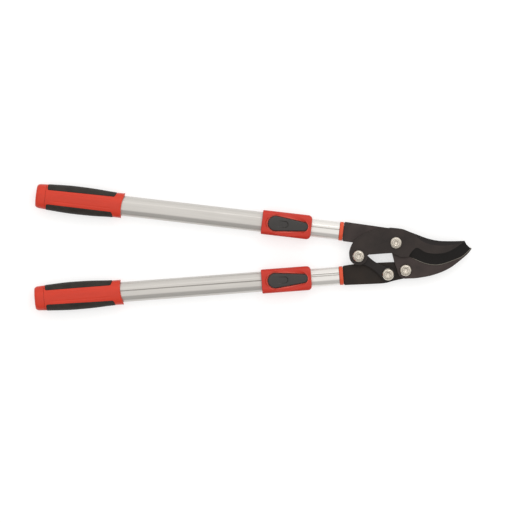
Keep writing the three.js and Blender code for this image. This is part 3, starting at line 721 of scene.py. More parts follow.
def blade():
    outline = Outline(-6, -15.5).lines([(-41, -18)])
    outline.curve((-43.9, -19), (TAIL_PIVOT[0] + TAIL_LOBE_RADIUS, TAIL_PIVOT[1]))
    outline.arc(TAIL_PIVOT, TAIL_LOBE_RADIUS, 0, -0.94, 48)
    outline.spline([(-71.4, -13), (-66.4, -0.2), (-58, 8.3), (-42.7, 16.7), (-24.3, 21.2), (-8, 23.4)])
    outline.spline([(9.3, 21.3), (21.6, 16.7), (33.8, 12.1)])
    outline.spline(BLADE_BACK[1:])
    outline.lines([(107.6, -2.1), (114.8, -9)])
    outline.spline(BLADE_EDGE[-2::-1])
    outline.curve((11, -22.4), (6.3, -21.6))
    holes = [circle(HOLE_RADIUS, MAIN_PIVOT), circle(HOLE_RADIUS, TAIL_PIVOT)]
    mesh = plate("blade", [outline.closed(), *holes], *BLADE_LAYER, rounding=0.45)
    for look in (BLADE_STEEL, BEVEL_STEEL, HOLLOW_STEEL, EDGE_STEEL):
        mesh.materials.append(look)
    deepest = BLADE_LAYER[1] - BLADE_LAYER[0] - EDGE_THICKNESS
    bevel_profile = [(0, 0), (0.08, 0.42), (0.3, 1.25), (0.6, 2.3), (0.85, 3.1)]
    bevel_profile += [(EDGE_BAND, 3.45), (1, deepest)]
    hollow_profile = [(0, 0), (0.12, 0.35), (0.4, 0.85), (0.7, 1.1), (1, BACK_HOLLOW_DEPTH)]
    bevel = grind(BEVEL_LINE, BLADE_EDGE, bevel_profile, look=1, last_look=3)
    hollow = grind(HOLLOW_LINE, BLADE_BACK, hollow_profile, look=2)
    return shade(carve(mesh, bevel, hollow, folded=True), crease=14, flat_tops=True)


show("hook_jaw_and_upper_arm", hook_plate(), head_place(), ARM_STEEL)
show("lower_arm", lower_arm_plate(), head_place(), LOWER_STEEL)
show("power_link", power_link_plate(), head_place(), LINK_STEEL)
show("cutting_blade", blade(), head_place())

# ---- Bolts, washers and nuts ----

AROUND = 72


def ring_of(radius_at, z):
    """A ring round the local axis, with its radius from a function of the angle."""
    return [(*polar((0, 0), radius_at(a), a), z) for a in full_turn(AROUND)]


def round_ring(radius, z):
    return ring_of(lambda angle: radius, z)


def hexagon(corner_radius):
    """The radius of a hexagon at an angle."""
    flat = corner_radius * math.cos(math.pi / 6)
    return lambda angle: flat / math.cos((angle + math.pi / 6) % (math.pi / 3) - math.pi / 6)


def hex_ring(corner_radius, z, limit=math.inf):
    side = hexagon(corner_radius)
    return ring_of(lambda angle: min(side(angle - math.pi / 6), limit), z)


def threads(top, end):
    """Rings for a threaded shank, from its top down to its end."""
    rings = []
    z = top
    while z > end + THREAD_PITCH:
        rings.append(round_ring(BOLT_RADIUS, z))
        rings.append(round_ring(BOLT_RADIUS - THREAD_DEPTH, z - THREAD_PITCH / 2))
        z -= THREAD_PITCH
    rings.append(round_ring(BOLT_RADIUS, z))
    rings.append(round_ring(BOLT_RADIUS - 0.7, end))
    return rings


# The bolt head from its socket's mouth over a turned groove and the dome, as (radius, drop).
HEAD_PROFILE = [
    (3.55, 0.5), (3.75, 0.3), (4.0, 0.12), (4.3, 0.02), (4.6, 0), (4.85, 0.05), (5.0, 0.2),
    (5.1, 0.75), (5.3, 0.9), (5.7, 0.85), (5.9, 0.5), (6.6, 0.72), (7.4, 1.15), (8.1, 1.75),
    (8.7, 2.45), (9.08, 3.1), (9.26, 3.65), (HEAD_RADIUS, 4.15), (9.22, 4.45), (9.05, HEAD_HEIGHT),
]


def bolt_mesh(base, end, thread_top):
    """Domed head with a stepped ring and a hexagon socket, and a shank threaded at its end."""
    crown = base + HEAD_HEIGHT
    floor = crown - SOCKET_DEPTH
    rings = [hex_ring(0.55 * SOCKET_RADIUS, floor - 0.45)]
    rings += [hex_ring(SOCKET_RADIUS - 0.25, floor), hex_ring(SOCKET_RADIUS, floor + 0.2)]
    rings += [hex_ring(SOCKET_RADIUS, crown - 0.85), hex_ring(SOCKET_RADIUS + 0.1, crown - 0.7)]
    rings += [round_ring(radius, crown - drop) for radius, drop in HEAD_PROFILE]
    rings += [round_ring(BOLT_RADIUS, base), round_ring(BOLT_RADIUS, thread_top)]
    rings += threads(thread_top, end)
    return shade(loft("bolt", rings), crease=32)


def washer_mesh(top):
    outlines = [circle(WASHER_RADIUS, steps=AROUND), circle(HOLE_RADIUS, steps=AROUND)]
    mesh = plate("washer", outlines, top - WASHER_THICKNESS, top, 0.25, 3)
    return shade(mesh, flat_tops=True)


def nut_mesh(top):
    """A hexagon nut with chamfered corners, and the locking collar under it."""
    bottom = top - NUT_HEIGHT
    end = bottom - NUT_COLLAR_HEIGHT
    face = NUT_RADIUS * math.cos(math.pi / 6)
    rings = [round_ring(HOLE_RADIUS, top)]
    rings += [round_ring(face - 0.15, top), hex_ring(NUT_RADIUS, top - 0.3, face + 0.25)]
    rings += [hex_ring(NUT_RADIUS, top - 0.75), hex_ring(NUT_RADIUS, bottom + 0.75)]
    rings += [hex_ring(NUT_RADIUS, bottom + 0.3, face + 0.25), round_ring(face - 0.15, bottom)]
    collar = [(0.15, bottom), (0, bottom - 0.2), (0, end + 0.45), (-0.15, end + 0.12), (-0.5, end)]
    rings += [round_ring(NUT_COLLAR_RADIUS + grow, z) for grow, z in collar]
    rings.append(round_ring(HOLE_RADIUS, end))
    return shade(loft("nut", rings, ends=False, wrap=True), crease=25)


FASTENERS = [
    ("main_pivot", MAIN_PIVOT, BLADE_LAYER[1], HOOK_LAYER[0]),
    ("blade_link", TAIL_PIVOT, BLADE_LAYER[1], HOOK_LAYER[0]),
    ("link_arm", CRANK_PIVOT, HOOK_LAYER[1], LOWER_ARM_LAYER[0]),
    ("hook_arm", ARM_PIVOT, HOOK_LAYER[1], LOWER_ARM_LAYER[0]),
]

for fastener, pivot, head_on, nut_under in FASTENERS:
    washer_top = nut_under - GAP
    nut_top = washer_top - WASHER_THICKNESS - GAP
    bolt_end = LOWEST if nut_under == LOWER_ARM_LAYER[0] else SHORT_BOLT_END
    spot = head_place(*pivot)
    show(f"{fastener}_bolt", bolt_mesh(head_on + GAP, bolt_end, nut_top), spot, NICKEL)
    show(f"{fastener}_washer", washer_mesh(washer_top), spot, ZINC)
    show(f"{fastener}_nut", nut_mesh(nut_top), spot, ZINC)

# ---- Tubes and ferrules ----


GROOVE = {"half": 0.8, "floor_half": 0.12, "depth": 0.8}
SECTION_ROUNDING = 1.2


def oval(half, grow=0.0, grooves=(), groove_depth=GROOVE["depth"]):
    """A flattened oval section as (y, z) points, with fine grooves at given places across its top."""
    wide, tall = half[0] + grow, half[1] + grow
    flat = 0.42 * wide
    shoulder = Vector((-0.8 * wide, 0.68 * tall))
    lines = []
    border, floor = GROOVE["half"], GROOVE["floor_half"]
    steps = ((border, 0), (floor, groove_depth), (-floor, groove_depth), (-border, 0))
    for place in sorted(grooves, reverse=True):
        lines += [Vector((place + dy, tall - dz)) for dy, dz in steps]
    side = Outline(*shoulder).curve((-1.2 * wide, 0), (shoulder.x, -shoulder.y), 16).points
    other = [Vector((-p.x, p.y)) for p in reversed(side)]
    section = [Vector((flat, tall)), *lines, Vector((-flat, tall)), *side]
    section += [Vector((-flat, -tall)), Vector((flat, -tall)), *other]
    corners = [section[0], section[1 + len(lines)], side[0], side[-1], other[0], other[-1]]
    corners += [p for p in section if abs(p.x) == flat and p.y < 0]
    return soften(section, corners, SECTION_ROUNDING)


def soften(section, corners, radius):
    """The section with some of its corners turned into short curves."""
    made = []
    for i, point in enumerate(section):
        if not any(point is corner for corner in corners):
            made.append(point)
            continue
        before = section[i - 1] - point
        after = section[(i + 1) % len(section)] - point
        start = point + before.normalized() * min(radius, 0.45 * before.length)
        end = point + after.normalized() * min(radius, 0.45 * after.length)
        made += [start.lerp(point, t).lerp(point.lerp(end, t), t) for t in (0, 0.33, 0.67, 1)]
    return made


def section_ring(section, x):
    return [(x, p.x, p.y) for p in section]


def tube_mesh(size, grooves=()):
    outside = oval(size["half"], 0, grooves)
    eased = oval(size["half"], -TUBE_EASE, grooves)
    inside = oval(size["half"], -size["wall"], grooves, 0)
    front, rear = size["front"], size["rear"]
    rows = [(eased, rear), (outside, rear + TUBE_EASE), (outside, front - TUBE_EASE)]
    rows += [(eased, front), (inside, front), (inside, rear)]
    return loft("tube", [section_ring(section, x) for section, x in rows], ends=False, wrap=True)


def outer_tube(grooves):
    hole = rod(PIN_HOLE_RADIUS, 0, SLEEVE["high"], LOCK_PIN["x"], steps=48)
    return shade(carve(tube_mesh(OUTER_TUBE, grooves), hole), crease=22)


def inner_tube(grooves):
    places = [LOCK_PIN["x"] - i * DETENT_PITCH for i in range(DETENT_COUNT)]
    holes = [rod(DETENT_RADIUS, 0, SLEEVE["high"], x, steps=48) for x in places]
    return shade(carve(tube_mesh(INNER_TUBE, grooves), *holes), crease=22)


def ferrule(layer):
    """The collar at the tube's mouth, with a plug inside the tube and a slot for the arm's tang."""
    bore = oval(INNER_TUBE["half"], -INNER_TUBE["wall"] - GAP)
    length = COLLAR["length"]
    rings = [section_ring(bore, -length - COLLAR["plug"]), section_ring(bore, -length)]
    rear_rim = [(-0.5, 0), (-0.15, 0.12), (0, 0.5)]
    front_rim = [(0, length - 0.7), (-0.2, length - 0.2), (-0.7, length)]
    for grow, x in rear_rim + front_rim:
        rings.append(section_ring(oval(COLLAR["half"], grow), x - length))
    slot = block(
        (-length - COLLAR["plug"] - 1, -TANG_HALF_WIDTH - GAP, layer[0] - GAP),
        (1, TANG_HALF_WIDTH + GAP, layer[1] + GAP),
    )
    return shade(carve(loft("ferrule", rings), slot), crease=30)


# ---- Sleeve and lock lever ----


def quarter_drop(distance, radius):
    """How far a rounded rim has dropped at a distance in from its border."""
    if distance >= radius:
        return 0.0
    return radius - math.sqrt(max(0.0, radius**2 - (radius - distance) ** 2))


def ray_to(outline, centre, angle):
    """How far it is from a centre to a closed outline, in one direction."""
    ahead = Vector((math.cos(angle), math.sin(angle)))
    best = 0.0
    for i, point in enumerate(outline):
        a = outline[i - 1] - Vector(centre)
        side = point - outline[i - 1]
        crossing = ahead.cross(side)
        if abs(crossing) < 1e-12:
            continue
        reach = a.cross(side) / crossing
        share = a.cross(ahead) / crossing
        if reach > 0 and -1e-9 <= share <= 1 + 1e-9:
            best = max(best, reach)
    return best


def teardrop(grow=0.0, steps=48):
    """Two circles of different sizes and the lines that touch both."""
    wide = (LEVER["wide_x"], 0)
    narrow = (LEVER["narrow_x"], 0)
    lean = math.acos((LEVER["wide"] - LEVER["narrow"]) / (narrow[0] - wide[0])) / math.pi
    outline = Outline(*narrow).arc(wide, LEVER["wide"] + grow, lean, 2 - lean, steps)
    outline.arc(narrow, LEVER["narrow"] + grow, -lean, lean, steps)
    outline.points = outline.points[1:]
    return outline.closed()


def sleeve_plan():
    front, rear, half = SLEEVE["front"], SLEEVE["rear"], SLEEVE["half"]
    corner, small = SLEEVE["corner"], SLEEVE_REAR_CORNER
    outline = Outline(front, 0).arc((front - corner, half - corner), corner, 0, 0.5, 12)
    outline.arc((rear + small, half - small), small, 0.5, 1, 6)
    outline.arc((rear + small, small - half), small, 1, 1.5, 6)
    outline.arc((front - corner, corner - half), corner, 1.5, 2, 12)
    return outline.closed()


def sleeve_drop(x, y):
    """How far the sleeve's rounded rim lies below its highest level at a place in plan."""
    corner = SLEEVE["corner"]
    past = max(0.0, x - (SLEEVE["front"] - corner))
    half = SLEEVE["half"] - corner + math.sqrt(max(0.0, corner**2 - past**2))
    side = quarter_drop(max(0.0, half - abs(y)), corner)
    end = quarter_drop(max(0.0, min(SLEEVE["front"] - x, x - SLEEVE["rear"])), SLEEVE_END_FILLET)
    return min(side + end, corner + SLEEVE_END_FILLET)


# How far out each ring of the sleeve lies, as shares: over the dish, the casing and the underside.
DISH_SHARES = (0.2, 0.4, 0.6, 0.8, 0.93, 0.985)
CASING_SHARES = (0, 0.15, 0.35, 0.55, 0.7, 0.82, 0.9, 0.95, 0.98, 0.995, 1)
UNDERSIDE_SHARES = (1, 0.995, 0.98, 0.95, 0.9, 0.83, 0.75, 0.6, 0.3)


def lock_sleeve():
    """A rounded casing with a lens-shaped dish and a chamfer round the lever's pocket, which is given
    a paler red as painted sheen.
    """
    centre = Vector((DISH["x"], 0))
    plan = sleeve_plan()
    pocket = teardrop(LEVER_CLEARANCE)
    even = full_turn(120)
    lens = [(DISH["length"] * math.cos(a), DISH["half"] * math.sin(a)) for a in even]
    lens = [centre + Vector(point) for point in lens]
    corners = [math.atan2(p.y, p.x - centre.x) % (2 * math.pi) for p in plan]
    angles = sorted({round(a, 3) for a in corners + even})
    high, low = SLEEVE["high"], SLEEVE["low"]
    rim_high = high - DISH["depth"]
    rows = []

    def ring(radii, height):
        spots = [polar(centre, radius, angle) for radius, angle in zip(radii, angles)]
        rows.append([(x, y, height(x, y)) for x, y in spots])

    inner = [ray_to(pocket, centre, a) for a in angles]
    outer = [ray_to(plan, centre, a) for a in angles]
    crease = [min(ray_to(lens, centre, a), DISH["most"] * r) for a, r in zip(angles, outer)]
    chamfer_low = rim_high - POCKET_CHAMFER["drop"]
    ring(inner, lambda x, y: POCKET_FLOOR)
    ring(inner, lambda x, y: chamfer_low)
    ring([r + 0.1 for r in inner], lambda x, y: chamfer_low + 0.15)
    rim = [r + POCKET_CHAMFER["width"] for r in inner]
    ring(rim, lambda x, y: rim_high)
    levels = [high - sleeve_drop(*polar(centre, r, a)) for r, a in zip(crease, angles)]
    for share in DISH_SHARES:
        spots = [polar(centre, r + (end - r) * share, a) for r, end, a in zip(rim, crease, angles)]
        lift = share**DISH["hollow"]
        rows.append([(*spot, rim_high + (z - rim_high) * lift) for spot, z in zip(spots, levels)])
    for share in CASING_SHARES:
        radii = [r + (end - r) * share for r, end in zip(crease, outer)]
        ring(radii, lambda x, y: high - sleeve_drop(x, y))
    for share in UNDERSIDE_SHARES:
        ring([r * share for r in outer], lambda x, y: low + sleeve_drop(x, y))
    body = loft("sleeve", rows)
    # The chamfer faces that face the lever take the second, paler material: painted sheen round the
    # pocket.
    for face in body.polygons:
        faces_lever = (face.center.xy / MM - centre).dot(face.normal.xy) < 0
        at_rim = chamfer_low < face.center.z / MM < rim_high - 0.02
        face.material_index = int(faces_lever and at_rim)
    behind = SLEEVE["rear"] - 1
    nose_section = oval(INNER_TUBE["half"], 0.4)
    nose = loft("nose", [section_ring(nose_section, x) for x in (behind, SLEEVE["front"] + 1)])
    bore_section = oval(OUTER_TUBE["half"], GAP)
    bore = loft("bore", [section_ring(bore_section, x) for x in (behind, OUTER_TUBE["front"] + GAP)])
    lock_hole = rod(PIN_HOLE_RADIUS, 0, POCKET_FLOOR + 1, LOCK_PIN["x"], steps=48)
    hinge = LEVER_PIVOT
    hinge_hole = cross_rod(hinge["radius"] + 0.1, hinge["x"], hinge["z"], hinge["half"] + GAP)
    return shade(carve(body, nose, bore, lock_hole, hinge_hole), crease=28)


def height_along(curve_points, x):
    """The height of a side-view polyline at a place along the handle."""
    for (x0, z0), (x1, z1) in zip(curve_points, curve_points[1:]):
        if min(x0, x1) <= x <= max(x0, x1):
            return z0 + (z1 - z0) * (x - x0) / (x1 - x0)
    nearest = min(curve_points, key=lambda p: abs(p[0] - x))
    return nearest[1]


LEVER_NOSE = LEVER["narrow_x"] + LEVER["narrow"] + 1
LEVER_TAIL = LEVER["wide_x"] - LEVER["wide"] - 1
LEVER_TOP = (
    Outline(LEVER_NOSE, LEVER_SIDE["nose"])
    .curve((LEVER_NOSE - 8, LEVER_SIDE["brow"]), (LEVER_PIVOT["x"] + 4, LEVER_SIDE["middle"]), 24)
    .curve((LEVER["wide_x"] + 6, LEVER_SIDE["dip"]), (LEVER_TAIL, LEVER_SIDE["tail"]), 24)
    .points
)


def ramp(value, low, high):
    """0 below low and 1 above high, with a smooth rise."""
    t = max(0.0, min(1.0, (value - low) / (high - low)))
    return t * t * (3 - 2 * t)


def lever_top(x, y):
    """The lever's upper surface: crowned across, with a thumb recess that ends in a crescent."""
    level = height_along(LEVER_TOP, x) - LEVER_CROWN * (y / LEVER["wide"]) ** 2
    near = max(THUMB_MARK["from"], min(THUMB_MARK["to"], x))
    inside = THUMB_MARK["radius"] - math.hypot(x - near, y)
    deepening = ramp(x, THUMB_MARK["from"], THUMB_MARK["to"])
    return level - THUMB_MARK["depth"] * deepening**2 * ramp(inside, 0, THUMB_MARK["wall"])


def lever_underside(x):
    """The underside, cut away towards the wide end so that it can be pressed."""
    start = LEVER_PIVOT["x"] - 2
    return LEVER["low"] + LEVER_SIDE["relief"] * max(0.0, (start - x) / (start - LEVER_TAIL))


def lock_lever():
    centre = Vector((THUMB_MARK["to"], 0))
    angles = full_turn(160)
    rows = []

    def ring(outline_inset, scale, height):
        outline = teardrop(-outline_inset)
        spots = [polar(centre, ray_to(outline, centre, a) * scale, a) for a in angles]
        rows.append([(x, y, height(x, y)) for x, y in spots])

    ring(0.4, 0.4, lambda x, y: lever_underside(x))
    ring(0.4, 1, lambda x, y: lever_underside(x))
    ring(0, 1, lambda x, y: lever_underside(x) + 0.4)
    for i in range(7):
        angle = math.pi / 2 * i / 6
        sink = LEVER_ROUNDING * (1 - math.sin(angle))
        ring(LEVER_ROUNDING * (1 - math.cos(angle)), 1, lambda x, y, sink=sink: lever_top(x, y) - sink)
    steps = 46
    for i in range(1, steps):
        ring(LEVER_ROUNDING, 1 - i / steps, lever_top)
    body = loft("lever", rows)
    pin_hole = cross_rod(LEVER_PIVOT["radius"] + GAP, LEVER_PIVOT["x"], LEVER_PIVOT["z"], 20)
    lock_hole = rod(LOCK_PIN["radius"] + GAP, LEVER["low"] - 1, LOCK_PIN["high"] + GAP, LOCK_PIN["x"])
    seat = rod(SPRING_SEAT["radius"], LEVER["low"] - 1, SPRING_SEAT["high"], SPRING["x"])
    return shade(carve(body, pin_hole, lock_hole, seat), crease=40)


def lever_spring():
    """A coil of round wire, capped at each end."""
    steps, sides = 140, 12
    rings = []
    for i in range(steps + 1):
        t = i / steps
        angle = 2 * math.pi * SPRING["turns"] * t
        rise = SPRING["low"] + (SPRING["high"] - SPRING["low"]) * t
        outward = Vector((math.cos(angle), math.sin(angle), 0))
        spot = Vector((SPRING["x"], 0, rise)) + SPRING["radius"] * outward
        sections = [outward * math.cos(a) + Vector((0, 0, math.sin(a))) for a in full_turn(sides)]
        rings.append([spot + SPRING["wire"] * offset for offset in sections])
    return shade(loft("spring", rings))


# ---- Grips ----


def grip_size(x):
    """Half width and half height of the grip at a place along the handle."""
    last = len(GRIP_SECTIONS) - 1
    for i in range(last):
        if x <= GRIP_SECTIONS[i + 1][0] or i == last - 1:
            break
    start, end = GRIP_SECTIONS[i][0], GRIP_SECTIONS[i + 1][0]
    share = (i + max(0.0, min(1.0, (x - start) / (end - start)))) / last
    sizes = [(half, tall) for _, half, tall in GRIP_SECTIONS]
    return spline_point(sizes, share)


def squared(value):
    return math.copysign(abs(value) ** (2 / GRIP_SQUARENESS), value)


def grip_point(x, angle, grow=0.0, scale=1.0):
    half, tall = grip_size(x)
    y = (half * scale + grow) * squared(math.cos(angle))
    z = (tall * scale + grow) * squared(math.sin(angle))
    return Vector((x, y, z))


def angle_at(x, y):
    """The angle on the upper half of the grip's section where it is y from the middle plane."""
    half = grip_size(x).x
    share = max(-1.0, min(1.0, y / half))
    return math.acos(math.copysign(abs(share) ** (GRIP_SQUARENESS / 2), share))


def pad_edge(x, pad, grow=0.0):
    """How far from the middle plane a pad's long edge is, at a place along the handle."""
    rear, front = pad["rear"] - grow, pad["front"] + grow
    rear_edge, front_edge = pad["rear_edge"] - grow, pad["front_edge"] - grow
    slant = front - PAD_SLANT
    corner_end = rear + PAD_CORNER
    if x < corner_end:
        t = math.sqrt(max(0.0, x - rear) / PAD_CORNER)
        return rear_edge + PAD_CORNER * (1 - t) ** 2
    if x < slant:
        return rear_edge + (front_edge - rear_edge) * (x - corner_end) / (slant - corner_end)
    t = min(1.0, (x - slant) / PAD_SLANT)
    return front_edge + (PAD_BEYOND - front_edge) * t * t


def corner_and_sides(rear, corner_steps):
    """Places along a pad from its rear end to where its tip begins, closer together at the end."""
    corner_end = rear + PAD_CORNER
    places = [rear + PAD_CORNER * (i / corner_steps) ** 2 for i in range(corner_steps + 1)]
    return places + [corner_end + (PAD_TIP_START - corner_end) * i / 40 for i in range(1, 41)]


def grip_pads(handle):
    """The pad on the +y side and the pad on the -y side."""
    return (OUTER_PAD, INNER_PAD) if handle["outward"] > 0 else (INNER_PAD, OUTER_PAD)


def grip_front(handle, y):
    """Where the grip's hollow front edge is, at a place across it."""
    outer, inner, side = GRIP_FRONT["outer"], GRIP_FRONT["inner"], GRIP_FRONT["side"]
    control = 2 * GRIP_FRONT["middle"] - (outer + inner) / 2
    t = (1 - handle["outward"] * y / side) / 2
    return outer * (1 - t) ** 2 + control * 2 * t * (1 - t) + inner * t * t


TOP_POINTS = 44
POCKET_POINTS = 22
RIDGES = (-6.2, 6.2)
RIDGE = {"depth": 0.32, "width": 0.75, "rear": (-451, -444), "front": (354, 362)}
# The flared lip, as (share of the way to the front edge, growth, distance back from the edge).
LIP = [
    (0.35, 0, 0), (0.6, 0, 0), (0.66, -0.25, 0), (0.7, -0.3, 0), (0.74, -0.1, 0), (0.8, 0.05, 0),
    (0.9, 0, 0), (1, -0.1, -0.9), (1, -0.2, -0.45), (1, -0.5, -0.15), (1, -1, 0),
]
MOUTH = -340
MOUTH_INSET = 0.35


def grip_angles(x, handle):
    """(angle, in a pocket) round the grip's section, with both pads' edges doubled."""
    plus, minus = grip_pads(handle)
    edge_plus = min(pad_edge(x, plus, GAP), grip_size(x).x)
    edge_minus = min(pad_edge(x, minus, GAP), grip_size(x).x)
    top = [edge_plus + (-edge_minus - edge_plus) * i / TOP_POINTS for i in range(TOP_POINTS + 1)]
    top = [angle_at(x, y) for y in top]
    reach_plus, reach_minus = top[0], math.pi - top[-1]
    shares = [1 - 2 * i / POCKET_POINTS for i in range(POCKET_POINTS + 1)]
    shares = [math.copysign(abs(s) ** (GRIP_SQUARENESS / 2), s) for s in shares]
    around = [(a, False) for a in top]
    around += [(math.pi - s * reach_minus, True) for s in shares]
    around += [(2 * math.pi - a, False) for a in reversed(top)]
    around += [(-s * reach_plus, True) for s in reversed(shares)]
    return around


def ridge_depth(x, y):
    """Fine grooves along the grip's middle stripe, fading at both ends."""
    fade = ramp(x, *RIDGE["rear"]) * ramp(-x, *RIDGE["front"])
    grooves = sum(math.exp(-(((y - place) / RIDGE["width"]) ** 2)) for place in RIDGES)
    return RIDGE["depth"] * fade * grooves


def grip_shell(handle):
    """The red grip: pockets for the pads, ridged stripes, and a flared lip round the tube's mouth."""
    rear = OUTER_PAD["rear"] - GAP
    before = [(CAP_JOINT, -0.15), (CAP_JOINT + 0.15, 0), (rear - 0.6, 0)]
    stations = [(x, grow, False) for x, grow in before] + [(rear, 0, False)]
    pocket = corner_and_sides(rear, 8) + [PAD_TIP_START + 0.5 * i for i in range(1, 31)]
    stations += [(x, 0, True) for x in pocket]
    rows = []
    for x, grow, pockets in stations:
        row = []
        for angle, in_pocket in grip_angles(x, handle):
            depth = PAD_DEPTH if in_pocket and pockets else 0
            plain = grip_point(x, angle, grow - depth)
            groove = 0 if in_pocket else ridge_depth(x, plain.y)
            row.append(grip_point(x, angle, grow - depth - groove))
        rows.append(row)
    angles = [angle for angle, _ in grip_angles(stations[-1][0], handle)]
    start = stations[-1][0]
    fronts = [grip_front(handle, grip_point(MOUTH, angle).y) for angle in angles]
    for share, grow, back in LIP:
        places = [start + (front - start) * share + back for front in fronts]
        rows.append([grip_point(x, angle, grow) for x, angle in zip(places, angles)])
    bore = [polar_oval(p.y, p.z) for p in rows[-1]]
    mouth = [grip_front(handle, p.y) - MOUTH_INSET for p in rows[-1]]
    rows.append([(x, y, z) for x, (y, z) in zip(mouth, bore)])
    rows.append([(CAP_JOINT, y, z) for y, z in bore])
    return shade(loft("grip", rows, ends=False, wrap=True), crease=38)


TUBE_BORE = oval(OUTER_TUBE["half"], GAP)


def polar_oval(y, z):
    """The point of the grip's bore in the same direction as a point of its outer form."""
    reach = ray_to(TUBE_BORE, (0, 0), math.atan2(z, y))
    size = math.hypot(y, z)
    return (y / size * reach, z / size * reach)


def grip_pad(handle, side):
    """A soft pad in its pocket, with rounded rims. Side is 1 on the +y side and -1 on the other."""
    pad = grip_pads(handle)[0 if side > 0 else 1]
    rear = pad["rear"]
    tip = rear
    while pad_edge(tip, pad) < grip_size(tip).x - 0.25:
        tip += 0.05
    stations = corner_and_sides(rear, 10)
    count = int((tip - PAD_TIP_START) / 0.35)
    stations += [PAD_TIP_START + (tip - PAD_TIP_START) * i / count for i in range(1, count + 1)]
    shares = [math.sin(math.pi / 2 * (1 - 2 * i / 36)) for i in range(37)]
    outer_rows, inner_rows = [], []
    for x in stations:
        edge = pad_edge(x, pad)
        reach = angle_at(x, edge)
        half, tall = grip_size(x)
        outer, inner = [], []
        for share in shares:
            angle = math.copysign(abs(share) ** (GRIP_SQUARENESS / 2), share) * reach
            from_edge = (half + tall) / 2 * abs(reach) * (1 - abs(share))
            inward = min(from_edge, x - rear, 1.4 * (tip - x))
            grow = PAD_PROUD - quarter_drop(max(0.0, inward), PAD_EDGE_ROUNDING)
            turned = angle if side > 0 else math.pi - angle
            outer.append(grip_point(x, turned, grow))
            inner.append(grip_point(x, turned, GAP - PAD_DEPTH))
        outer_rows.append(outer)
        inner_rows.append(inner)
    bm = bmesh.new()
    sheets = [[[bm.verts.new(p) for p in row] for row in rows] for rows in (outer_rows, inner_rows)]
    for sheet in sheets:
        for here, there in zip(sheet, sheet[1:]):
            for i in range(1, len(here)):
                bm.faces.new((here[i - 1], here[i], there[i], there[i - 1]))
    outer, inner = sheets
    rim_outer = border_of(outer)
    rim_inner = border_of(inner)
    for i in range(len(rim_outer)):
        bm.faces.new((rim_outer[i - 1], rim_outer[i], rim_inner[i], rim_inner[i - 1]))
    return shade(to_mesh(bm, "pad"), crease=50)


def border_of(rows):
    """The border of a sheet of rows, as one loop."""
    loop = list(rows[0])
    loop += [row[-1] for row in rows[1:]]
    loop += list(reversed(rows[-1]))[1:]
    loop += [row[0] for row in reversed(rows[1:-1])]
    return loop


def grip_cap():
    """The domed end of the grip, with a plug inside the outer tube."""
    around = full_turn(120)
    start, end, smallest = CAP_ROUNDING["start"], CAP_ROUNDING["end"], CAP_ROUNDING["scale"]
    rows = []
    for share in (0.15, 0.4, 0.7, 0.9):
        x = CAP_ROUNDING["rear"] + (end - CAP_ROUNDING["rear"]) * share**2
        rows.append([grip_point(x, a, 0, smallest * share) for a in around])
    for i in range(13):
        angle = math.pi / 2 * i / 12
        x = start + (end - start) * math.cos(angle)
        rows.append([grip_point(x, a, 0, smallest + (1 - smallest) * math.sin(angle)) for a in around])
    face = CAP_JOINT - GAP
    for x, grow in ((face - 4, 0), (face - 0.15, 0), (face, -0.15)):
        rows.append([grip_point(x, a, grow) for a in around])
    cap = loft("cap", rows)
    plug_section = oval(OUTER_TUBE["half"], -OUTER_TUBE["wall"] - GAP)
    plug = loft("plug", [section_ring(plug_section, x) for x in (face - 2, face + CAP_PLUG)])
    return shade(carve(cap, plug, operation="UNION"), crease=38)


GROOVES = {
    "upper": {"inner": (1.9,), "outer": ()},
    "lower": {"inner": (4.4, 1.6), "outer": (1.8,)},
}


def hinge_pin():
    hinge = LEVER_PIVOT
    return shade(cross_rod(hinge["radius"], hinge["x"], hinge["z"], hinge["half"], rounding=0.3))


def lock_pin():
    low, high = LOCK_PIN["low"], LOCK_PIN["high"]
    return shade(rod(LOCK_PIN["radius"], low, high, LOCK_PIN["x"], rounding=0.5))


for handle, layer in ((UPPER, HOOK_LAYER), (LOWER, LOWER_ARM_LAYER)):
    side_name = handle["name"]
    outer_side = handle["outward"]
    pieces = [
        ("ferrule", ferrule(layer), ORANGE),
        ("inner_tube", inner_tube(GROOVES[side_name]["inner"]), INNER_ALUMINIUM),
        ("outer_tube", outer_tube(GROOVES[side_name]["outer"]), OUTER_ALUMINIUM),
        ("lock_sleeve", lock_sleeve(), SLEEVE_RED_WITH_PAINTED_SHEEN, RIM_RED_PAINTED_SHEEN),
        ("lock_lever", lock_lever(), BLACK),
        ("lever_spring", lever_spring(), ZINC),
        ("lever_hinge_pin", hinge_pin(), PIN_STEEL_PAINTED_DARK),
        ("lock_pin", lock_pin(), ZINC),
        ("grip_shell", grip_shell(handle), RED),
        ("grip_outer_pad", grip_pad(handle, outer_side), RUBBER),
        ("grip_inner_pad", grip_pad(handle, -outer_side), RUBBER),
        ("grip_end_cap", grip_cap(), RED),
    ]
    for piece_name, mesh, *looks in pieces:
        show(f"{side_name}_{piece_name}", mesh, handle_place(handle), *looks)

# The glide bushes are hidden in the tubes and keep their CAD shape.
for side_name in ("upper", "lower"):
    bush = frame["nodes"][f"{side_name}_glide_bush"]
    bush.data.materials.clear()
    bush.data.materials.append(BLACK)

# ---- Floor, lights and camera ----

FLOOR_SIZE = 16
FLOOR_LEVEL = -0.0003
VIEW_CENTRE = (0.01365, -0.02174)
VIEW_WIDTH = 0.8002
VIEW_LEVEL = 0.022
LENS = 250
SENSOR = 36


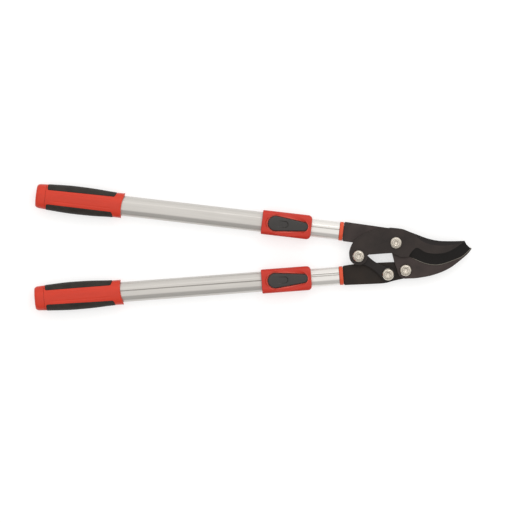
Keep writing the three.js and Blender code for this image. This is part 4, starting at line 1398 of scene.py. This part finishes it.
def studio_floor():
    bm = bmesh.new()
    bmesh.ops.create_grid(bm, x_segments=8, y_segments=8, size=FLOOR_SIZE / 2)
    mesh = bpy.data.meshes.new("studio_floor")
    bm.to_mesh(mesh)
    bm.free()
    mesh.materials.append(floor_paint("pale_floor"))
    floor = bpy.data.objects.new("studio_floor", mesh)
    floor.location.z = FLOOR_LEVEL
    bpy.context.scene.collection.objects.link(floor)


def soft_light(name, location, target, size, power, mirrored=True):
    data = bpy.data.lights.new(name, "AREA")
    data.shape = "RECTANGLE"
    data.size, data.size_y = size
    data.energy = power
    light = bpy.data.objects.new(name, data)
    light.location = location
    aim = Vector(target) - Vector(location)
    light.rotation_euler = aim.to_track_quat("-Z", "Y").to_euler()
    light.visible_camera = False
    light.visible_glossy = mirrored
    bpy.context.scene.collection.objects.link(light)


def studio_world():
    """A pale room, brighter overhead and on the +Y side."""
    world = bpy.data.worlds.new("studio")
    bpy.context.scene.world = world
    world.use_nodes = True
    tree = world.node_tree
    tree.nodes["Background"].inputs["Color"].default_value = colour(1, 0.985, 0.965)
    around = tree.nodes.new("ShaderNodeTexCoord")
    brighter = Vector((0.1, 0.45, 0.9)).normalized()
    settings = {0: around.outputs["Generated"], 1: brighter}
    facing = add_node(tree, "ShaderNodeVectorMath", settings, operation="DOT_PRODUCT")
    level = remap(tree, facing.outputs["Value"], 0, 0.85, 0.42, 1.12)
    tree.links.new(level, tree.nodes["Background"].inputs["Strength"])


def top_camera():
    data = bpy.data.cameras.new("camera")
    data.lens = LENS
    data.sensor_width = SENSOR
    data.clip_end = 60
    camera = bpy.data.objects.new("camera", data)
    camera.location = (*VIEW_CENTRE, VIEW_LEVEL + VIEW_WIDTH * LENS / SENSOR)
    bpy.context.scene.collection.objects.link(camera)
    bpy.context.scene.camera = camera


studio_floor()
studio_world()
top_camera()
soft_light("key", (0.5, 1.0, 1.7), (0, 0, 0), (0.6, 0.4), 3)
soft_light("fill", (0, 0, 2.2), (0, 0, 0), (1.6, 1.6), 9, mirrored=False)
bpy.context.scene.view_settings.view_transform = "Standard"
